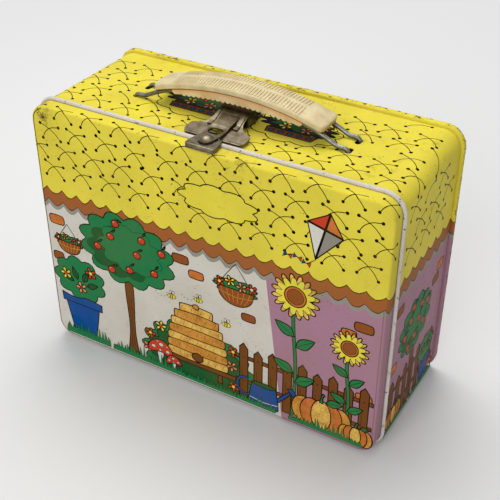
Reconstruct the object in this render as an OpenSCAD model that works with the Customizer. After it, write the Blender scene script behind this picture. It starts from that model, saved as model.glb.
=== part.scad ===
// Steel lunch box: drawn lid pan, band, back panel, spring latch, plastic carrying handle, bottle clip.
// X runs across the box, Y from the lid face to the back panel, Z up. Millimetres.

/* [Box] */
// Width over the sheet walls
box_w = 216; // [190:1:250]
// Height over the sheet walls
box_h = 158.4; // [145:0.2:190]
// Depth from the lid face to the back of the rear seam
box_d = 88.7; // [80:0.1:120]
// Thickness of the steel sheet
sheet_t = 0.5; // [0.4:0.05:0.7]
// Outer radius of the four upright corners of the pan and the band
corner_r = 10; // [8:0.5:16]

/* [Lid] */
// Depth from the lid face to the centre of the rolled bead
lid_d = 9.7; // [9:0.1:14]
// Outer radius of the fold between the lid face and its skirt
fold_r = 1.6; // [1:0.1:2.4]
// Radius of the rolled bead
bead_r = 1.2; // [1:0.05:1.5]
// Distance from the skirt's outer face to the centre of the bead
bead_out = 0.6; // [0.4:0.05:0.8]
// Overlap of the band's lip inside the lid skirt
lip_in = 5; // [3:0.5:6]
// Clearance between the lip and the skirt
lip_gap = 0.3; // [0.2:0.05:0.6]
// Gap between the bead and the shoulder of the band
shoulder_gap = 0.4; // [0.2:0.1:1]

/* [Back seam] */
// Width of the double seam along the depth
seam_w = 4; // [3.4:0.1:6]
// Height of the double seam above the wall
seam_out = 1.8; // [1.6:0.1:2.4]
// Play between the folded layers of the seam
seam_play = 0.05; // [0.03:0.01:0.1]
// Depth of the back panel below the seam's rear edge
panel_in = 3; // [2.5:0.1:3.4]
// Rounding of the seam's outer edges
seam_r = 0.8; // [0.6:0.1:1]

/* [Handle] */
// Sideways offset of latch and handle from the middle of the box
fittings_x = 1.6; // [-4:0.2:4]
// Depth of the handle's middle line behind the lid face
handle_y = 43.4; // [41:0.1:60]
// Length of the top grip
grip_l = 104; // [92:1:112]
// Width of the top grip
grip_w = 18.4; // [17.4:0.1:22]
// Thickness of the top grip
grip_t = 4.6; // [4:0.1:6]
// Width of the crown between the two bevels of the top grip
crown_w = 12.4; // [9:0.1:14]
// Radius of the arch over the crown of the top grip
arch_r = 162; // [150:1:220]
// Height of the crown above the top of the box
crown_z = 20; // [19:0.2:28]
// Spacing of the fine ribs on the top grip
rib_pitch = 1.6; // [1.4:0.1:3]
// Length of the ribbed stretch of the top grip
rib_l = 72; // [40:1:80]
// Height of the fine ribs
rib_h = 0.35; // [0.2:0.05:0.6]
// Width of the lower grip
palm_w = 17; // [16.8:0.1:17.2]
// Length of the lower grip
palm_l = 78; // [70:1:80]
// Thickness of the lower grip in the middle
palm_t = 5.1; // [4.6:0.1:6.5]
// Radius of the lower grip's underside
palm_r = 235; // [220:5:320]
// Spacing of the finger ribs under the lower grip
finger_pitch = 3; // [2.4:0.1:5]
// Height of the finger ribs
finger_h = 0.8; // [0.4:0.1:1.2]
// Length of the stretch with finger ribs
finger_l = 66; // [40:1:68]
// Radius of the pegs that locate the lower grip
peg_r = 1.5; // [1.2:0.1:1.8]
// Radius of the handle wires
wire_r = 1.2; // [1:0.05:1.4]
// Distance between the two handle wires
wire_gap = 14; // [13.6:0.1:14.2]
// Distance from the handle's middle to each leg of a wire
leg_x = 64.6; // [62:0.1:68]
// Bend radius of the wires, on the middle line
bend_r = 2.6; // [2.2:0.1:3]
// Travel of the handle from rest to its lifted stop
lift = 10; // [6:0.5:14]
// Length of the turned foot at the end of each leg
foot_l = 4; // [3:0.5:6]
// Length of the slots in the band for the wires
slot_l = 6; // [5:0.1:7]
// Clearance round the wires in slots and channels
wire_play = 0.45; // [0.4:0.05:0.6]

/* [Latch] */
// Width over the thumb wings of the lever
wing_w = 36; // [28:0.5:44]
// Depth from the lid face to the front edge of the wings
wing_y = 12.3; // [11.9:0.1:13]
// Depth of the wings before they run into the stem
wing_d = 9.4; // [8:0.2:12]
// Width of the stem
stem_w = 18; // [16:0.2:22]
// Height of the stem's crest above the box
stem_z = 7.4; // [6.6:0.1:7.6]
// Distance from the wings' front edge to the lever's pivot
lever_l = 31.7; // [30:0.1:34]
// Thickness of the lever's plate
lever_t = 0.8; // [0.6:0.05:1]
// Width of the raised nose in the middle of the lever
nose_w = 10.4; // [9:0.2:12]
// Height of the dome on the nose
dome_h = 1.8; // [1.2:0.1:2.2]
// Radius of the dome's rim
dome_r = 4.1; // [3.4:0.1:4.4]
// Radius of the pivot pin
pin_r = 0.8; // [0.6:0.05:0.9]
// Height of the pivot above the box
pivot_z = 2.8; // [2.7:0.1:3]
// Width of the catch on the lid at its front lip
catch_w = 17; // [15:0.2:20]
// Width of the catch at the bead
catch_back_w = 14.6; // [13:0.2:17]
// Thickness of the catch's plate
catch_t = 0.75; // [0.6:0.05:0.9]
// Distance by which the catch's lip stands in front of the lid face
catch_lip = 0.9; // [0.8:0.05:1.4]
// Width of the hook on the catch
hook_w = 4.2; // [3.6:0.2:4.4]
// Height of the hook's top above the box
hook_z = 4.9; // [4.4:0.1:5.2]
// Clearance between the catch and the lever
latch_gap = 0.3; // [0.2:0.05:0.5]

/* [Hinges] */
// Length of each hinge
hinge_l = 40; // [30:1:60]
// Distance from each side wall to its hinge's middle
hinge_in = 46; // [40:1:60]
// Outer radius of the knuckles
knuckle_r = 1.4; // [1.3:0.05:1.45]
// Thickness of the leaves
leaf_t = 0.55; // [0.45:0.05:0.6]
// Radius of the hinge pins
hinge_pin_r = 0.75; // [0.6:0.05:0.8]
// Depth of the body leaf behind the hinge axis
leaf_d = 13; // [10:0.5:20]
// Running clearance of pins in their holes
pin_play = 0.05; // [0.02:0.01:0.08]
// End play between knuckles
end_play = 0.2; // [0.1:0.05:0.4]

/* [Rivets] */
// Radius of the rivet shanks
rivet_r = 1.3; // [1:0.1:1.6]
// Radius of the rivet heads
rivet_head_r = 2.3; // [2:0.1:2.6]
// Height of the rivet heads
rivet_head_h = 0.8; // [0.6:0.1:1]

/* [Bottle clip] */
// Radius of the bottle clip's wire
clip_r = 1.1; // [0.9:0.05:1.3]
// Distance from the middle of the box to the clip's pivot
clip_x = 12; // [0:1:18]
// Reach of the clip from its pivot to the far wire
clip_reach = 71; // [50:1:72]
// Height of the clip between its two arms
clip_h = 68; // [40:1:90]
// Height of the clip's middle above the floor
clip_z = 84; // [70:1:90]
// Distance from the back panel to the clip's axis
clip_out = 3.6; // [3:0.1:5]
// Bend radius of the clip's wire, on the middle line
clip_bend_r = 6; // [4:0.5:10]
// Thickness of the clip's brackets
bracket_t = 1.2; // [1:0.1:1.6]
// Width of the clip's brackets
bracket_w = 12; // [10:0.5:16]

/* [Hidden] */
$fn = 48;
eps = 0.01;
joint_trim = 0.1;

// Heights: the bead and the seam reach the floor, the walls stand above it
wall_z = seam_out;
top_z = wall_z + box_h;
// Depths, counted from the lid face; the finished part is centred between the catch lip and the seam
y_mid = (box_d - catch_lip) / 2;
bead_end = lid_d + bead_r;
shoulder_y = bead_end + shoulder_gap;
panel_y = box_d - panel_in - sheet_t;
// Lid: the flat of the face starts this far inside the wall
face_edge = 4;
// Band: the lip lies inside the skirt, and a joggle brings it out to the wall
lip_x = sheet_t + lip_gap;
joggle_l = 1;
// Seam: the band's hook lies inside the panel's cover
hook_out = seam_out - sheet_t - seam_play;
hook_y = box_d - sheet_t - seam_play;
hook_l = 2.2;
chuck_x = sheet_t + seam_play;

// Handle arch: all arcs share one centre below the handle
arch_z = top_z + crown_z - arch_r;
under_r = arch_r - grip_t;
channel_r = wire_r + 0.05;
wire_arc_r = under_r - channel_r;
wire_a = 15.6;
neck_r = 60;
neck_a = 26;
toe_r = 8;
wire_low_z = top_z + wire_r + 0.3;
neck_x = wire_arc_r * sin(wire_a) + neck_r * (sin(neck_a) - sin(wire_a));
neck_z = arch_z + wire_arc_r * cos(wire_a) - neck_r * (cos(wire_a) - cos(neck_a));
slope_z = wire_low_z + toe_r * (1 - cos(neck_a));
slope_x = neck_x + (neck_z - slope_z) / tan(neck_a);
toe_x = slope_x + toe_r * sin(neck_a);
foot_z = top_z - sheet_t - 0.3 - wire_r - lift;
slot_w = 2 * (wire_r + wire_play);
slot_shift = 0.15;
wire_y = [handle_y - wire_gap / 2, handle_y + wire_gap / 2];
palm_z = top_z + crown_z - grip_t - palm_t;
grip_end_r = 4;
rib_n = floor(rib_l / rib_pitch);
rib_a = rib_pitch / arch_r * 180 / PI;
finger_n = floor(finger_l / finger_pitch);
shell_gap = 0.05;
peg_x = 24;
peg_h = 1.6;

// Latch
catch_back_y = bead_end;
catch_rise = 0.3;
catch_low = 0.8;
catch_corner_r = 2;
catch_z = bead_out + bead_r + catch_rise;
pivot_y = wing_y + lever_l;
ramp_y = [wing_y + wing_d + 2.3, wing_y + wing_d + 13];
wing_z = [0.7, 2.3, 2.8, 3.6];
slot_y = ramp_y[0] + 0.4;
wing_r = 2.8;
nose_z = catch_z + catch_t + latch_gap + lever_t;
dome_y = catch_back_y - dome_r - 0.1;
window = [8.2, 6.4];
window_r = 3;
window_y = wing_y + 3.5;
hook_y0 = window_y - window[1] / 2 + latch_gap;
flange_t = 0.8;
ear_t = 0.8;
ear_r = 1.9;
ear_x = stem_w / 2 - flange_t - latch_gap - ear_t;
base_t = 0.8;
base_fore = 9;
base_aft = 5.6;
base_edge = 3.7;
tail_r = pivot_z - 0.9;
pin_head_r = 1.4;
pin_head_t = 0.7;
spring_wire_r = 0.22;
spring_r = pin_r + 0.1 + spring_wire_r;
spring_n = 6;
spring_leg_l = 6;
rib_rise = 0.5;

// Hinges: the leaves lie on the sheet's inner face
hinge_x = box_w / 2 - hinge_in;
axis_y = lid_d + 0.5;
axis_z = wall_z + sheet_t + leaf_t - knuckle_r;
notch_play = 0.6;
knuckle_l = (hinge_l - 2 * end_play) / 3;
lid_leaf_y = fold_r + 0.4;
leaf_y = axis_y + knuckle_r + 0.25;
rivet_x = hinge_l / 2 - 6;
body_rivet_y = axis_y + leaf_d - 3.6;
lid_rivet_y = 5;

// Bottle clip
clip_y = panel_y - clip_out;
arm_z = clip_h / 2;
stub_l = clip_bend_r / 2 + 5;
clip_knee_r = 2.6;
clip_play = 0.08;
bracket_gap = 1.2;

// Places a piece drawn from the lid face into the part's own frame
module place() {
    translate([0, -y_mid, 0]) children();
}

// Rectangle with four round corners, centred
module round_rect(w, h, r) {
    square([w - 2 * r, h], center = true);
    square([w, h - 2 * r], center = true);
    for (sx = [-1, 1], sy = [-1, 1])
        translate([sx * (w / 2 - r), sy * (h / 2 - r)]) circle(r);
}

// Sweeps a profile round the box walls: profile x is outwards from the wall, y is depth from the lid face
module round_the_walls() {
    flat_w = box_w / 2 - corner_r;
    flat_h = box_h / 2 - corner_r;
    centre = [[flat_w, flat_h], [flat_h, flat_w], [flat_w, flat_h], [flat_h, flat_w]];
    translate([0, 0, wall_z + box_h / 2]) rotate([-90, 0, 0])
        for (k = [0:3]) rotate(90 * k) translate([centre[k][0], centre[k][1], 0]) {
            rotate([90, 0, 0]) linear_extrude(2 * centre[k][1]) translate([corner_r, 0]) children();
            rotate_extrude(angle = 90) translate([corner_r, 0]) children();
        }
}

// Flat sheet filling the walls' outline, with its front at depth y; it runs into the swept profile
module wall_sheet(y) {
    edge = face_edge - 0.5;
    translate([0, y, wall_z + box_h / 2]) rotate([-90, 0, 0]) linear_extrude(sheet_t)
        round_rect(box_w - 2 * edge, box_h - 2 * edge, corner_r - edge);
}

// Both hinge places, left and right
module at_hinges() {
    for (s = [-1, 1]) translate([s * hinge_x, 0, 0]) children();
}

// Rivet along Z: shank through a stack of sheets, low head below and formed head above
module rivet(stack) {
    translate([0, 0, -rivet_head_h]) cylinder(h = rivet_head_h, r1 = rivet_head_r - 0.5, r2 = rivet_head_r);
    cylinder(h = stack, r = rivet_r);
    translate([0, 0, stack]) cylinder(h = rivet_head_h, r1 = rivet_head_r, r2 = rivet_head_r - 0.5);
}

// ---- Lid ----

module lid_profile() {
    translate([-face_edge, 0]) square([face_edge - fold_r, sheet_t]);
    translate([-fold_r, fold_r]) intersection() {
        difference() {
            circle(fold_r);
            circle(fold_r - sheet_t);
        }
        translate([0, -fold_r]) square(fold_r);
    }
    translate([-sheet_t, fold_r]) square([sheet_t, lid_d - fold_r]);
    translate([bead_out, lid_d]) difference() {
        circle(bead_r);
        circle(bead_r - sheet_t);
        translate([-bead_out, -bead_r - eps]) square([0.3, bead_r]);
    }
}

module lid_pan() {
    color("gold") place() difference() {
        union() {
            round_the_walls() lid_profile();
            wall_sheet(0);
        }
        at_hinges() hinge_notch(axis_y - knuckle_r - 1.5, bead_end + 1);
        at_hinges() rivet_holes(lid_rivet_y);
    }
}

// Opening in the bottom edge that the knuckles turn in
module hinge_notch(y0, y1) {
    translate([-hinge_l / 2 - notch_play, y0, -1])
        cube([hinge_l + 2 * notch_play, y1 - y0, wall_z + lip_x + sheet_t + 1.2]);
}

module rivet_holes(y) {
    for (s = [-1, 1]) translate([s * rivet_x, y, wall_z - 1])
        cylinder(h = sheet_t + leaf_t + 2, r = rivet_r);
}

module lid_catch() {
    color("#6e644f") place() translate([fittings_x, 0, top_z]) {
        difference() {
            catch_block(0, catch_low);
            catch_block(catch_t, catch_low - 1);
            translate([-catch_w, lid_d - bead_r - 0.6, 0]) cube([2 * catch_w, 2 * bead_r + 2, catch_z]);
        }
        for (s = [-1, 1]) mirror([s > 0 ? 0 : 1, 0, 0]) catch_side();
        translate([-hook_w / 2, 0, 0]) rotate([90, 0, 90]) linear_extrude(hook_w) hook_profile();
    }
}

// Block with a rounded top edge at the front and the sides, taken in by a wall
module catch_block(wall, z0) {
    top = catch_z + catch_t - wall;
    edge_r = 1.6 - wall;
    intersection() {
        translate([0, 0, z0]) linear_extrude(top - z0) catch_outline(wall);
        translate([-catch_w, 0, 0]) rotate([90, 0, 90]) linear_extrude(2 * catch_w) {
            translate([wall - catch_lip + edge_r, z0]) square([bead_end + 6, top - z0]);
            translate([wall - catch_lip, z0]) square([edge_r + 1, top - edge_r - z0]);
            translate([wall - catch_lip + edge_r, top - edge_r]) circle(edge_r);
        }
    }
}

// Plan of the catch, taken in by a wall: round front corners, narrower at the bead
module catch_outline(wall = 0) {
    front_x = catch_w / 2 - wall;
    back_x = catch_back_w / 2 - wall;
    corner = catch_corner_r - wall;
    for (s = [-1, 1]) translate([s * (front_x - corner), corner + wall - catch_lip]) circle(corner);
    polygon([[corner - front_x, wall - catch_lip], [front_x - corner, wall - catch_lip],
        [front_x - corner, catch_corner_r - catch_lip], [front_x, catch_corner_r - catch_lip], [front_x, 3],
        [back_x, bead_end + wall], [-back_x, bead_end + wall], [-front_x, 3],
        [-front_x, catch_corner_r - catch_lip], [corner - front_x, catch_corner_r - catch_lip]]);
}

// Turned-down side wall that stands on the lid skirt in front of the bead
module catch_side() {
    side_l = lid_d - bead_r - 0.7 - fold_r;
    translate([catch_back_w / 2 - catch_t - 0.4, fold_r, 0]) cube([catch_t, side_l, catch_z + 0.2]);
}

// Side view of the hook: it leaves the plate behind the bead and turns up through the lever's window
module hook_profile() {
    hook_back = hook_y0 + catch_t;
    translate([bead_end - 1, catch_z]) square([hook_back - bead_end + 1, catch_t]);
    translate([hook_y0, catch_z]) square([catch_t, hook_z - catch_z - catch_t / 2]);
    translate([hook_y0 + catch_t / 2, hook_z - catch_t / 2]) circle(catch_t / 2);
}

// ---- Band and back panel ----

module band_profile() {
    translate([-lip_x - sheet_t, lid_d - lip_in]) square([sheet_t, lip_in + bead_end - lid_d + eps]);
    polygon([[-lip_x, bead_end], [0, shoulder_y], [0, shoulder_y + joggle_l],
        [-sheet_t, shoulder_y + joggle_l], [-lip_x - sheet_t, shoulder_y], [-lip_x - sheet_t, bead_end]]);
    translate([-sheet_t, shoulder_y + joggle_l - eps])
        square([sheet_t, hook_y - shoulder_y - joggle_l + eps]);
    translate([-sheet_t, hook_y - sheet_t]) square([hook_out + sheet_t, sheet_t]);
    translate([hook_out - sheet_t, hook_y - hook_l]) square([sheet_t, hook_l]);
}

module band() {
    color("#d2c846") place() difference() {
        round_the_walls() band_profile();
        at_hinges() hinge_notch(lid_d - lip_in - 1, shoulder_y + joggle_l);
        at_hinges() rivet_holes(body_rivet_y);
        translate([fittings_x, 0, 0]) for (s = [-1, 1], k = [0, 1])
            translate([s * (leg_x - slot_shift), wire_y[k], top_z - 2]) linear_extrude(4)
                wire_slot(k == 0 ? 1 : -1);
        translate([fittings_x, 0, top_z - 2]) base_rivet_places() cylinder(h = 4, r = rivet_r);
    }
}

// Slot for one leg: the leg stands at its outer end
module wire_slot(inward) {
    run = slot_l - slot_w;
    circle(slot_w / 2);
    translate([0, inward * run]) circle(slot_w / 2);
    translate([-slot_w / 2, inward > 0 ? 0 : -run]) square([slot_w, run]);
}

module panel_profile() {
    difference() {
        translate([-chuck_x - sheet_t, box_d - seam_w]) corner_square(seam_out + chuck_x + sheet_t, seam_w, seam_r);
        translate([-chuck_x, box_d - seam_w + sheet_t])
            square([seam_out + chuck_x - sheet_t, seam_w - 2 * sheet_t]);
        translate([-chuck_x - sheet_t - eps, box_d - seam_w - eps])
            square([chuck_x + sheet_t + 0.1, sheet_t + 2 * eps]);
        translate([-chuck_x - sheet_t - eps, box_d - seam_w - eps]) square([sheet_t + 2 * eps, panel_y - box_d + seam_w]);
    }
    translate([-face_edge, panel_y]) square([face_edge - chuck_x, sheet_t]);
}

// Rectangle from the origin with round corners
module corner_square(w, h, r) {
    translate([w / 2, h / 2]) round_rect(w, h, r);
}

module back_panel() {
    color("#c8be3c") place() difference() {
        union() {
            round_the_walls() panel_profile();
            wall_sheet(panel_y);
        }
        bracket_rivet_places() rotate([-90, 0, 0]) translate([0, 0, -2]) cylinder(h = 4, r = rivet_r);
    }
}

// ---- Latch ----

module base_rivet_places() {
    for (y = [pivot_y - base_fore, pivot_y + base_aft]) translate([0, y, 0]) children();
}

module latch_base() {
    floor_w = 2 * (ear_x + ear_t);
    color("#6e644f") place() translate([fittings_x, 0, top_z]) difference() {
        union() {
            translate([0, pivot_y + (base_aft - base_fore) / 2, 0]) linear_extrude(base_t)
                round_rect(floor_w, base_fore + base_aft + 2 * base_edge, base_edge - 1.2);
            for (s = [-1, 1]) translate([s * (ear_x + ear_t / 2), pivot_y, 0]) rotate([0, 90, 0])
                translate([0, 0, -ear_t / 2]) {
                    translate([-pivot_z, 0, 0]) cylinder(h = ear_t, r = ear_r);
                    translate([-pivot_z, -ear_r, 0]) cube([pivot_z, 2 * ear_r, ear_t]);
                }
        }
        translate([0, 0, -1]) base_rivet_places() cylinder(h = 4, r = rivet_r);
        pivot_bore(pin_r);
    }
}

module pivot_bore(r) {
    translate([-stem_w, pivot_y, pivot_z]) rotate([0, 90, 0]) cylinder(h = 2 * stem_w, r = r);
}

module latch_base_rivets() {
    color("#7d7360") place() translate([fittings_x, 0, top_z - sheet_t])
        base_rivet_places() rivet(sheet_t + base_t);
}

module latch_pin() {
    grip = stem_w + 0.4;
    color("#7d7360") place() translate([fittings_x, pivot_y, top_z + pivot_z]) rotate([0, 90, 0]) {
        translate([0, 0, -grip / 2 - pin_head_t]) cylinder(h = grip + 2 * pin_head_t, r = pin_r);
        for (s = [-1, 1]) translate([0, 0, s * (grip + pin_head_t) / 2])
            cylinder(h = pin_head_t, r = pin_head_r, center = true);
    }
}

// Torsion spring drawn as close coils round the pin, with a leg on the base and one under the lever
module latch_spring() {
    pitch = 2 * spring_wire_r * 0.96;
    color("#5a5a5a") place() translate([fittings_x, pivot_y, top_z + pivot_z]) {
        rotate([0, 90, 0]) for (i = [0:spring_n - 1]) translate([0, 0, (i - (spring_n - 1) / 2) * pitch])
            rotate_extrude() translate([spring_r, 0]) circle(spring_wire_r, $fn = 24);
        for (s = [-1, 1]) translate([s * pitch * (spring_n - 1) / 2, 0, -s * spring_r * 0.999])
            rotate([90, 0, 0]) cylinder(h = spring_leg_l, r = spring_wire_r, $fn = 24);
    }
}

// Top line of the lever in side view: rolled front lip, wings, ramp up to the crest, and curled tail
lever_top = [[wing_y, wing_z[0]], [wing_y + 0.2, wing_z[0] + 0.9], [wing_y + 0.9, wing_z[1] - 0.15],
    [wing_y + 1.9, wing_z[1]], [wing_y + 6, wing_z[2]], [ramp_y[0] - 1.4, wing_z[3] - 0.25],
    [ramp_y[0] + 1.4, wing_z[3] + 0.4], [ramp_y[1] - 2, stem_z - 0.9], [ramp_y[1], stem_z - 0.3],
    [ramp_y[1] + 2.4, stem_z], [pivot_y - 2.2, stem_z - 0.1], [pivot_y, stem_z - 0.9],
    [pivot_y + 1.4, stem_z - 2], [pivot_y + tail_r, stem_z - 3.2]];

module lever_profile() {
    under = [for (i = [len(lever_top) - 1:-1:2]) [lever_top[i][0], lever_top[i][1] - lever_t]];
    polygon(concat(lever_top, under, [[wing_y + 0.3, wing_z[0] + 0.2]]));
}

module lever_outline() {
    sweep_r = 9;
    sweep_x = stem_w / 2 + sweep_r;
    sweep_y = wing_y + wing_d + sqrt(pow(sweep_r, 2) - pow(sweep_x - wing_w / 2 + wing_r, 2));
    translate([0, wing_y + wing_d / 2]) round_rect(wing_w, wing_d, wing_r);
    translate([-stem_w / 2, wing_y]) square([stem_w, pivot_y + tail_r - wing_y]);
    for (s = [-1, 1]) difference() {
        polygon([[0, wing_y + wing_d / 2], [s * (wing_w / 2 - wing_r), wing_y + wing_d - 1],
            [s * (wing_w / 2 - wing_r), wing_y + wing_d], [s * stem_w / 2, sweep_y], [0, sweep_y]]);
        translate([s * sweep_x, sweep_y]) circle(sweep_r);
    }
}

// Turned-down lip round the front and the corners of the wings
module wing_lip() {
    lip_l = wing_r + 0.4;
    difference() {
        intersection() {
            lever_slab(wing_w + 2) polygon([[wing_y - 1, wing_z[0]], [wing_y + lip_l, wing_z[0] + 0.5],
                [wing_y + lip_l, wing_z[1] - 0.3], [wing_y + 0.9, wing_z[1] - 0.3], [wing_y - 1, wing_z[0] + 0.5]]);
            linear_extrude(20) translate([0, wing_y + wing_d / 2]) round_rect(wing_w, wing_d, wing_r);
        }
        translate([0, wing_y + wing_d / 2, -1]) linear_extrude(20)
            round_rect(wing_w - 2 * lever_t, wing_d - 2 * lever_t, wing_r - lever_t);
    }
}

// Side view of the raised nose in the middle, with a swell behind the window
module nose_profile() {
    nose_y = dome_y - dome_r;
    rear_y = window_y + window[1] / 2;
    top = [[nose_y, nose_z - 0.5], [nose_y + 0.6, nose_z], [rear_y, nose_z + 0.2],
        [rear_y + 1, nose_z + 0.75], [rear_y + 2, nose_z + 1], [rear_y + 4, nose_z + 1.25],
        [ramp_y[1] - 3, stem_z - 1.1]];
    under = [for (i = [len(top) - 1:-1:0]) [top[i][0], top[i][1] - (i == 0 ? 0.3 : lever_t)]];
    polygon(concat(top, under));
}

module lever_slab(w) {
    translate([-w / 2, 0, 0]) rotate([90, 0, 90]) linear_extrude(w) children();
}

module nose_outline() {
    neck_l = window_y - window[1] / 2 - dome_y - 1;
    translate([0, dome_y]) circle(dome_r);
    polygon([[-dome_r, dome_y], [dome_r, dome_y], [nose_w / 2, dome_y + neck_l],
        [nose_w / 2, ramp_y[1] - 3], [-nose_w / 2, ramp_y[1] - 3], [-nose_w / 2, dome_y + neck_l]]);
}

module nose_dome(shell) {
    ball_r = (dome_r * dome_r + dome_h * dome_h) / (2 * dome_h);
    base = nose_z - 0.1;
    intersection() {
        translate([0, dome_y, base + dome_h - ball_r]) sphere(ball_r - shell, $fn = 96);
        translate([0, dome_y, base - lever_t - 1]) cylinder(h = 12, r = dome_r);
        translate([-20, -20, shell > 0 ? base - lever_t - 1 : base - 0.3]) cube([40, 60, 20]);
    }
}

module latch_lever() {
    color("#6e644f") place() translate([fittings_x, 0, top_z]) difference() {
        union() {
            difference() {
                union() {
                    intersection() {
                        lever_slab(wing_w + 2) lever_profile();
                        linear_extrude(20) lever_outline();
                    }
                    wing_lip();
                }
                translate([-nose_w / 2 + lever_t, wing_y - 1, -1])
                    cube([nose_w - 2 * lever_t, ramp_y[0] + 0.4 - wing_y, 5.2]);
            }
            intersection() {
                lever_slab(nose_w) nose_profile();
                linear_extrude(20) nose_outline();
            }
            nose_dome(0);
            nose_cheeks();
            stem_flanges();
            stem_ribs();
        }
        nose_dome(lever_t);
        translate([0, window_y, -1]) linear_extrude(12) round_rect(window[0], window[1], window_r);
        pivot_bore(pin_r + pin_play);
        for (s = [-1, 1]) translate([s * (nose_w / 2 + 0.75), slot_y, 0]) linear_extrude(9) round_rect(0.9, 4.6, 0.44);
    }
}

// Side walls that carry the nose above the wings
module nose_cheeks() {
    intersection() {
        union() for (s = [-1, 1]) translate([s * (nose_w - lever_t) / 2, 0, 0]) lever_slab(lever_t)
            polygon([[wing_y, wing_z[0] + 0.6], [wing_y, nose_z], [window_y + window[1] / 2, nose_z + 0.1],
                [ramp_y[0], nose_z + 0.9], [ramp_y[1] - 3, stem_z - 1.2], [ramp_y[1] - 3, stem_z - 1.3 - lever_t],
                [ramp_y[0], wing_z[3] - lever_t], [wing_y + 4, wing_z[2] - lever_t]]);
        linear_extrude(20) lever_outline();
    }
}

// Turned-down sides of the stem, which carry the pin
module stem_flanges() {
    front = ramp_y[1] - 2;
    crest = [for (p = lever_top) if (p[0] >= front) [p[0], p[1] - eps]];
    for (s = [-1, 1]) translate([s * (stem_w - flange_t) / 2, 0, 0]) lever_slab(flange_t) {
        polygon(concat(crest, [[pivot_y + tail_r, pivot_z], [pivot_y, 0.9], [front, 0.9]]));
        translate([pivot_y, pivot_z]) circle(tail_r);
    }
}

// Tapered stiffening ribs pressed along both sides of the ramp
module stem_ribs() {
    y0 = slot_y - 2.3;
    y1 = ramp_y[1] + 1.6;
    z0 = wing_z[3] + rib_rise;
    edge = stem_w / 2;
    for (s = [-1, 1]) intersection() {
        linear_extrude(20) polygon([[s * (edge - 2.5), y0], [s * (edge - 0.1), y0],
            [s * (edge - 1.2), y1], [s * (edge - 1.9), y1]]);
        lever_slab(stem_w) polygon([[y0, z0], [ramp_y[0] + 1.4, wing_z[3] + 0.4 + rib_rise],
            [ramp_y[1] - 2, stem_z - 0.9 + rib_rise], [y1, stem_z + 0.15],
            [y1, stem_z - 0.5], [ramp_y[1] - 2, stem_z - 1.3], [ramp_y[0] + 1.4, wing_z[3]], [y0, wing_z[3] - 0.7]]);
    }
}

// ---- Handle ----

// Sector of a ring round the arch's centre, between two angles from the vertical
module arch_sweep(a0, a1) {
    translate([0, 0, arch_z]) rotate([90, 0, 0]) rotate([0, 0, 90 - a1])
        rotate_extrude(angle = a1 - a0, $fn = 360) children();
}

// Cross-section of the top grip: x is the radius, y the width
module grip_section() {
    edge = grip_w / 2;
    crown = crown_w / 2;
    polygon([[under_r, -edge], [under_r + 1.1, -edge], [arch_r - 0.5, -crown - 0.9], [arch_r, -crown + 0.6],
        [arch_r, crown - 0.6], [arch_r - 0.5, crown + 0.9], [under_r + 1.1, edge], [under_r, edge]]);
}

// Grooves between the fine ribs, as corners of the grip's side view about the arch's centre
function rib_points() = [for (i = [0:rib_n - 1], p = [[0.05, 1], [0.12, -rib_h], [0.48, -rib_h], [0.55, 1]])
    let (a = (i + p[0] - rib_n / 2) * rib_a, r = arch_r + p[1]) [r * sin(a), r * cos(a)]];

module grip_side_view() {
    half_l = grip_l / 2 + 1;
    polygon(concat([[-half_l, 0], [-half_l, arch_r + 2]], rib_points(), [[half_l, arch_r + 2], [half_l, 0]]));
}

module handle_top_grip() {
    half_a = asin(grip_l / 2 / under_r) + 1;
    color("#ebd7aa") place() translate([fittings_x, handle_y, 0]) difference() {
        intersection() {
            arch_sweep(-half_a, half_a) grip_section();
            translate([0, grip_w / 2 + 1, arch_z]) rotate([90, 0, 0]) linear_extrude(grip_w + 2) grip_side_view();
            translate([0, 0, arch_z]) linear_extrude(arch_r + 10) round_rect(grip_l, grip_w + 1, grip_end_r);
        }
        for (s = [-1, 0, 1]) translate([s * peg_x, 0, palm_z])
            cylinder(h = peg_top(s) - palm_z + 0.2, r = peg_r + pin_play);
    }
}

// Height of a peg's top above the arch's underside at its place
function peg_top(s) = arch_z + sqrt(pow(under_r, 2) - pow(peg_x * s, 2)) + peg_h;

// Underside of the lower grip, one tooth after the other
function palm_under(x) = palm_z + finger_h - (palm_r - sqrt(palm_r * palm_r - x * x));
function finger_points() = [for (i = [0:finger_n - 1], p = [[0, 0], [0.35, -1], [0.75, -1]])
    let (x = (i + p[0] - finger_n / 2) * finger_pitch) [x, palm_under(x) + p[1] * finger_h]];

module palm_profile() {
    x1 = palm_l / 2;
    xf = finger_n / 2 * finger_pitch;
    top = palm_z + palm_t + 4;
    polygon(concat([[-x1, top], [-x1, palm_under(x1) + 1.2], [-x1 + 1.4, palm_under(x1)]],
        finger_points(),
        [[xf, palm_under(xf)], [x1 - 1.4, palm_under(x1)], [x1, palm_under(x1) + 1.2], [x1, top]]));
}

module handle_lower_grip() {
    color("#e6c896") place() translate([fittings_x, handle_y, 0]) {
        difference() {
            intersection() {
                translate([0, palm_w / 2, 0]) rotate([90, 0, 0]) linear_extrude(palm_w) palm_profile();
                translate([0, 0, arch_z]) rotate([90, 0, 0]) cylinder(h = palm_w + 2, r = under_r - shell_gap, center = true, $fn = 360);
            }
            for (s = [-1, 1]) translate([0, s * wire_gap / 2, 0]) {
                arch_sweep(-wire_a - 4, wire_a + 4) translate([wire_arc_r, 0]) circle(channel_r);
                arch_sweep(-wire_a - 4, wire_a + 4) translate([wire_arc_r, -channel_r]) square([5, 2 * channel_r]);
            }
        }
        for (s = [-1, 0, 1]) translate([s * peg_x, 0, palm_z + palm_t / 2])
            cylinder(h = peg_top(s) - palm_z - palm_t / 2, r = peg_r);
    }
}

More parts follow.
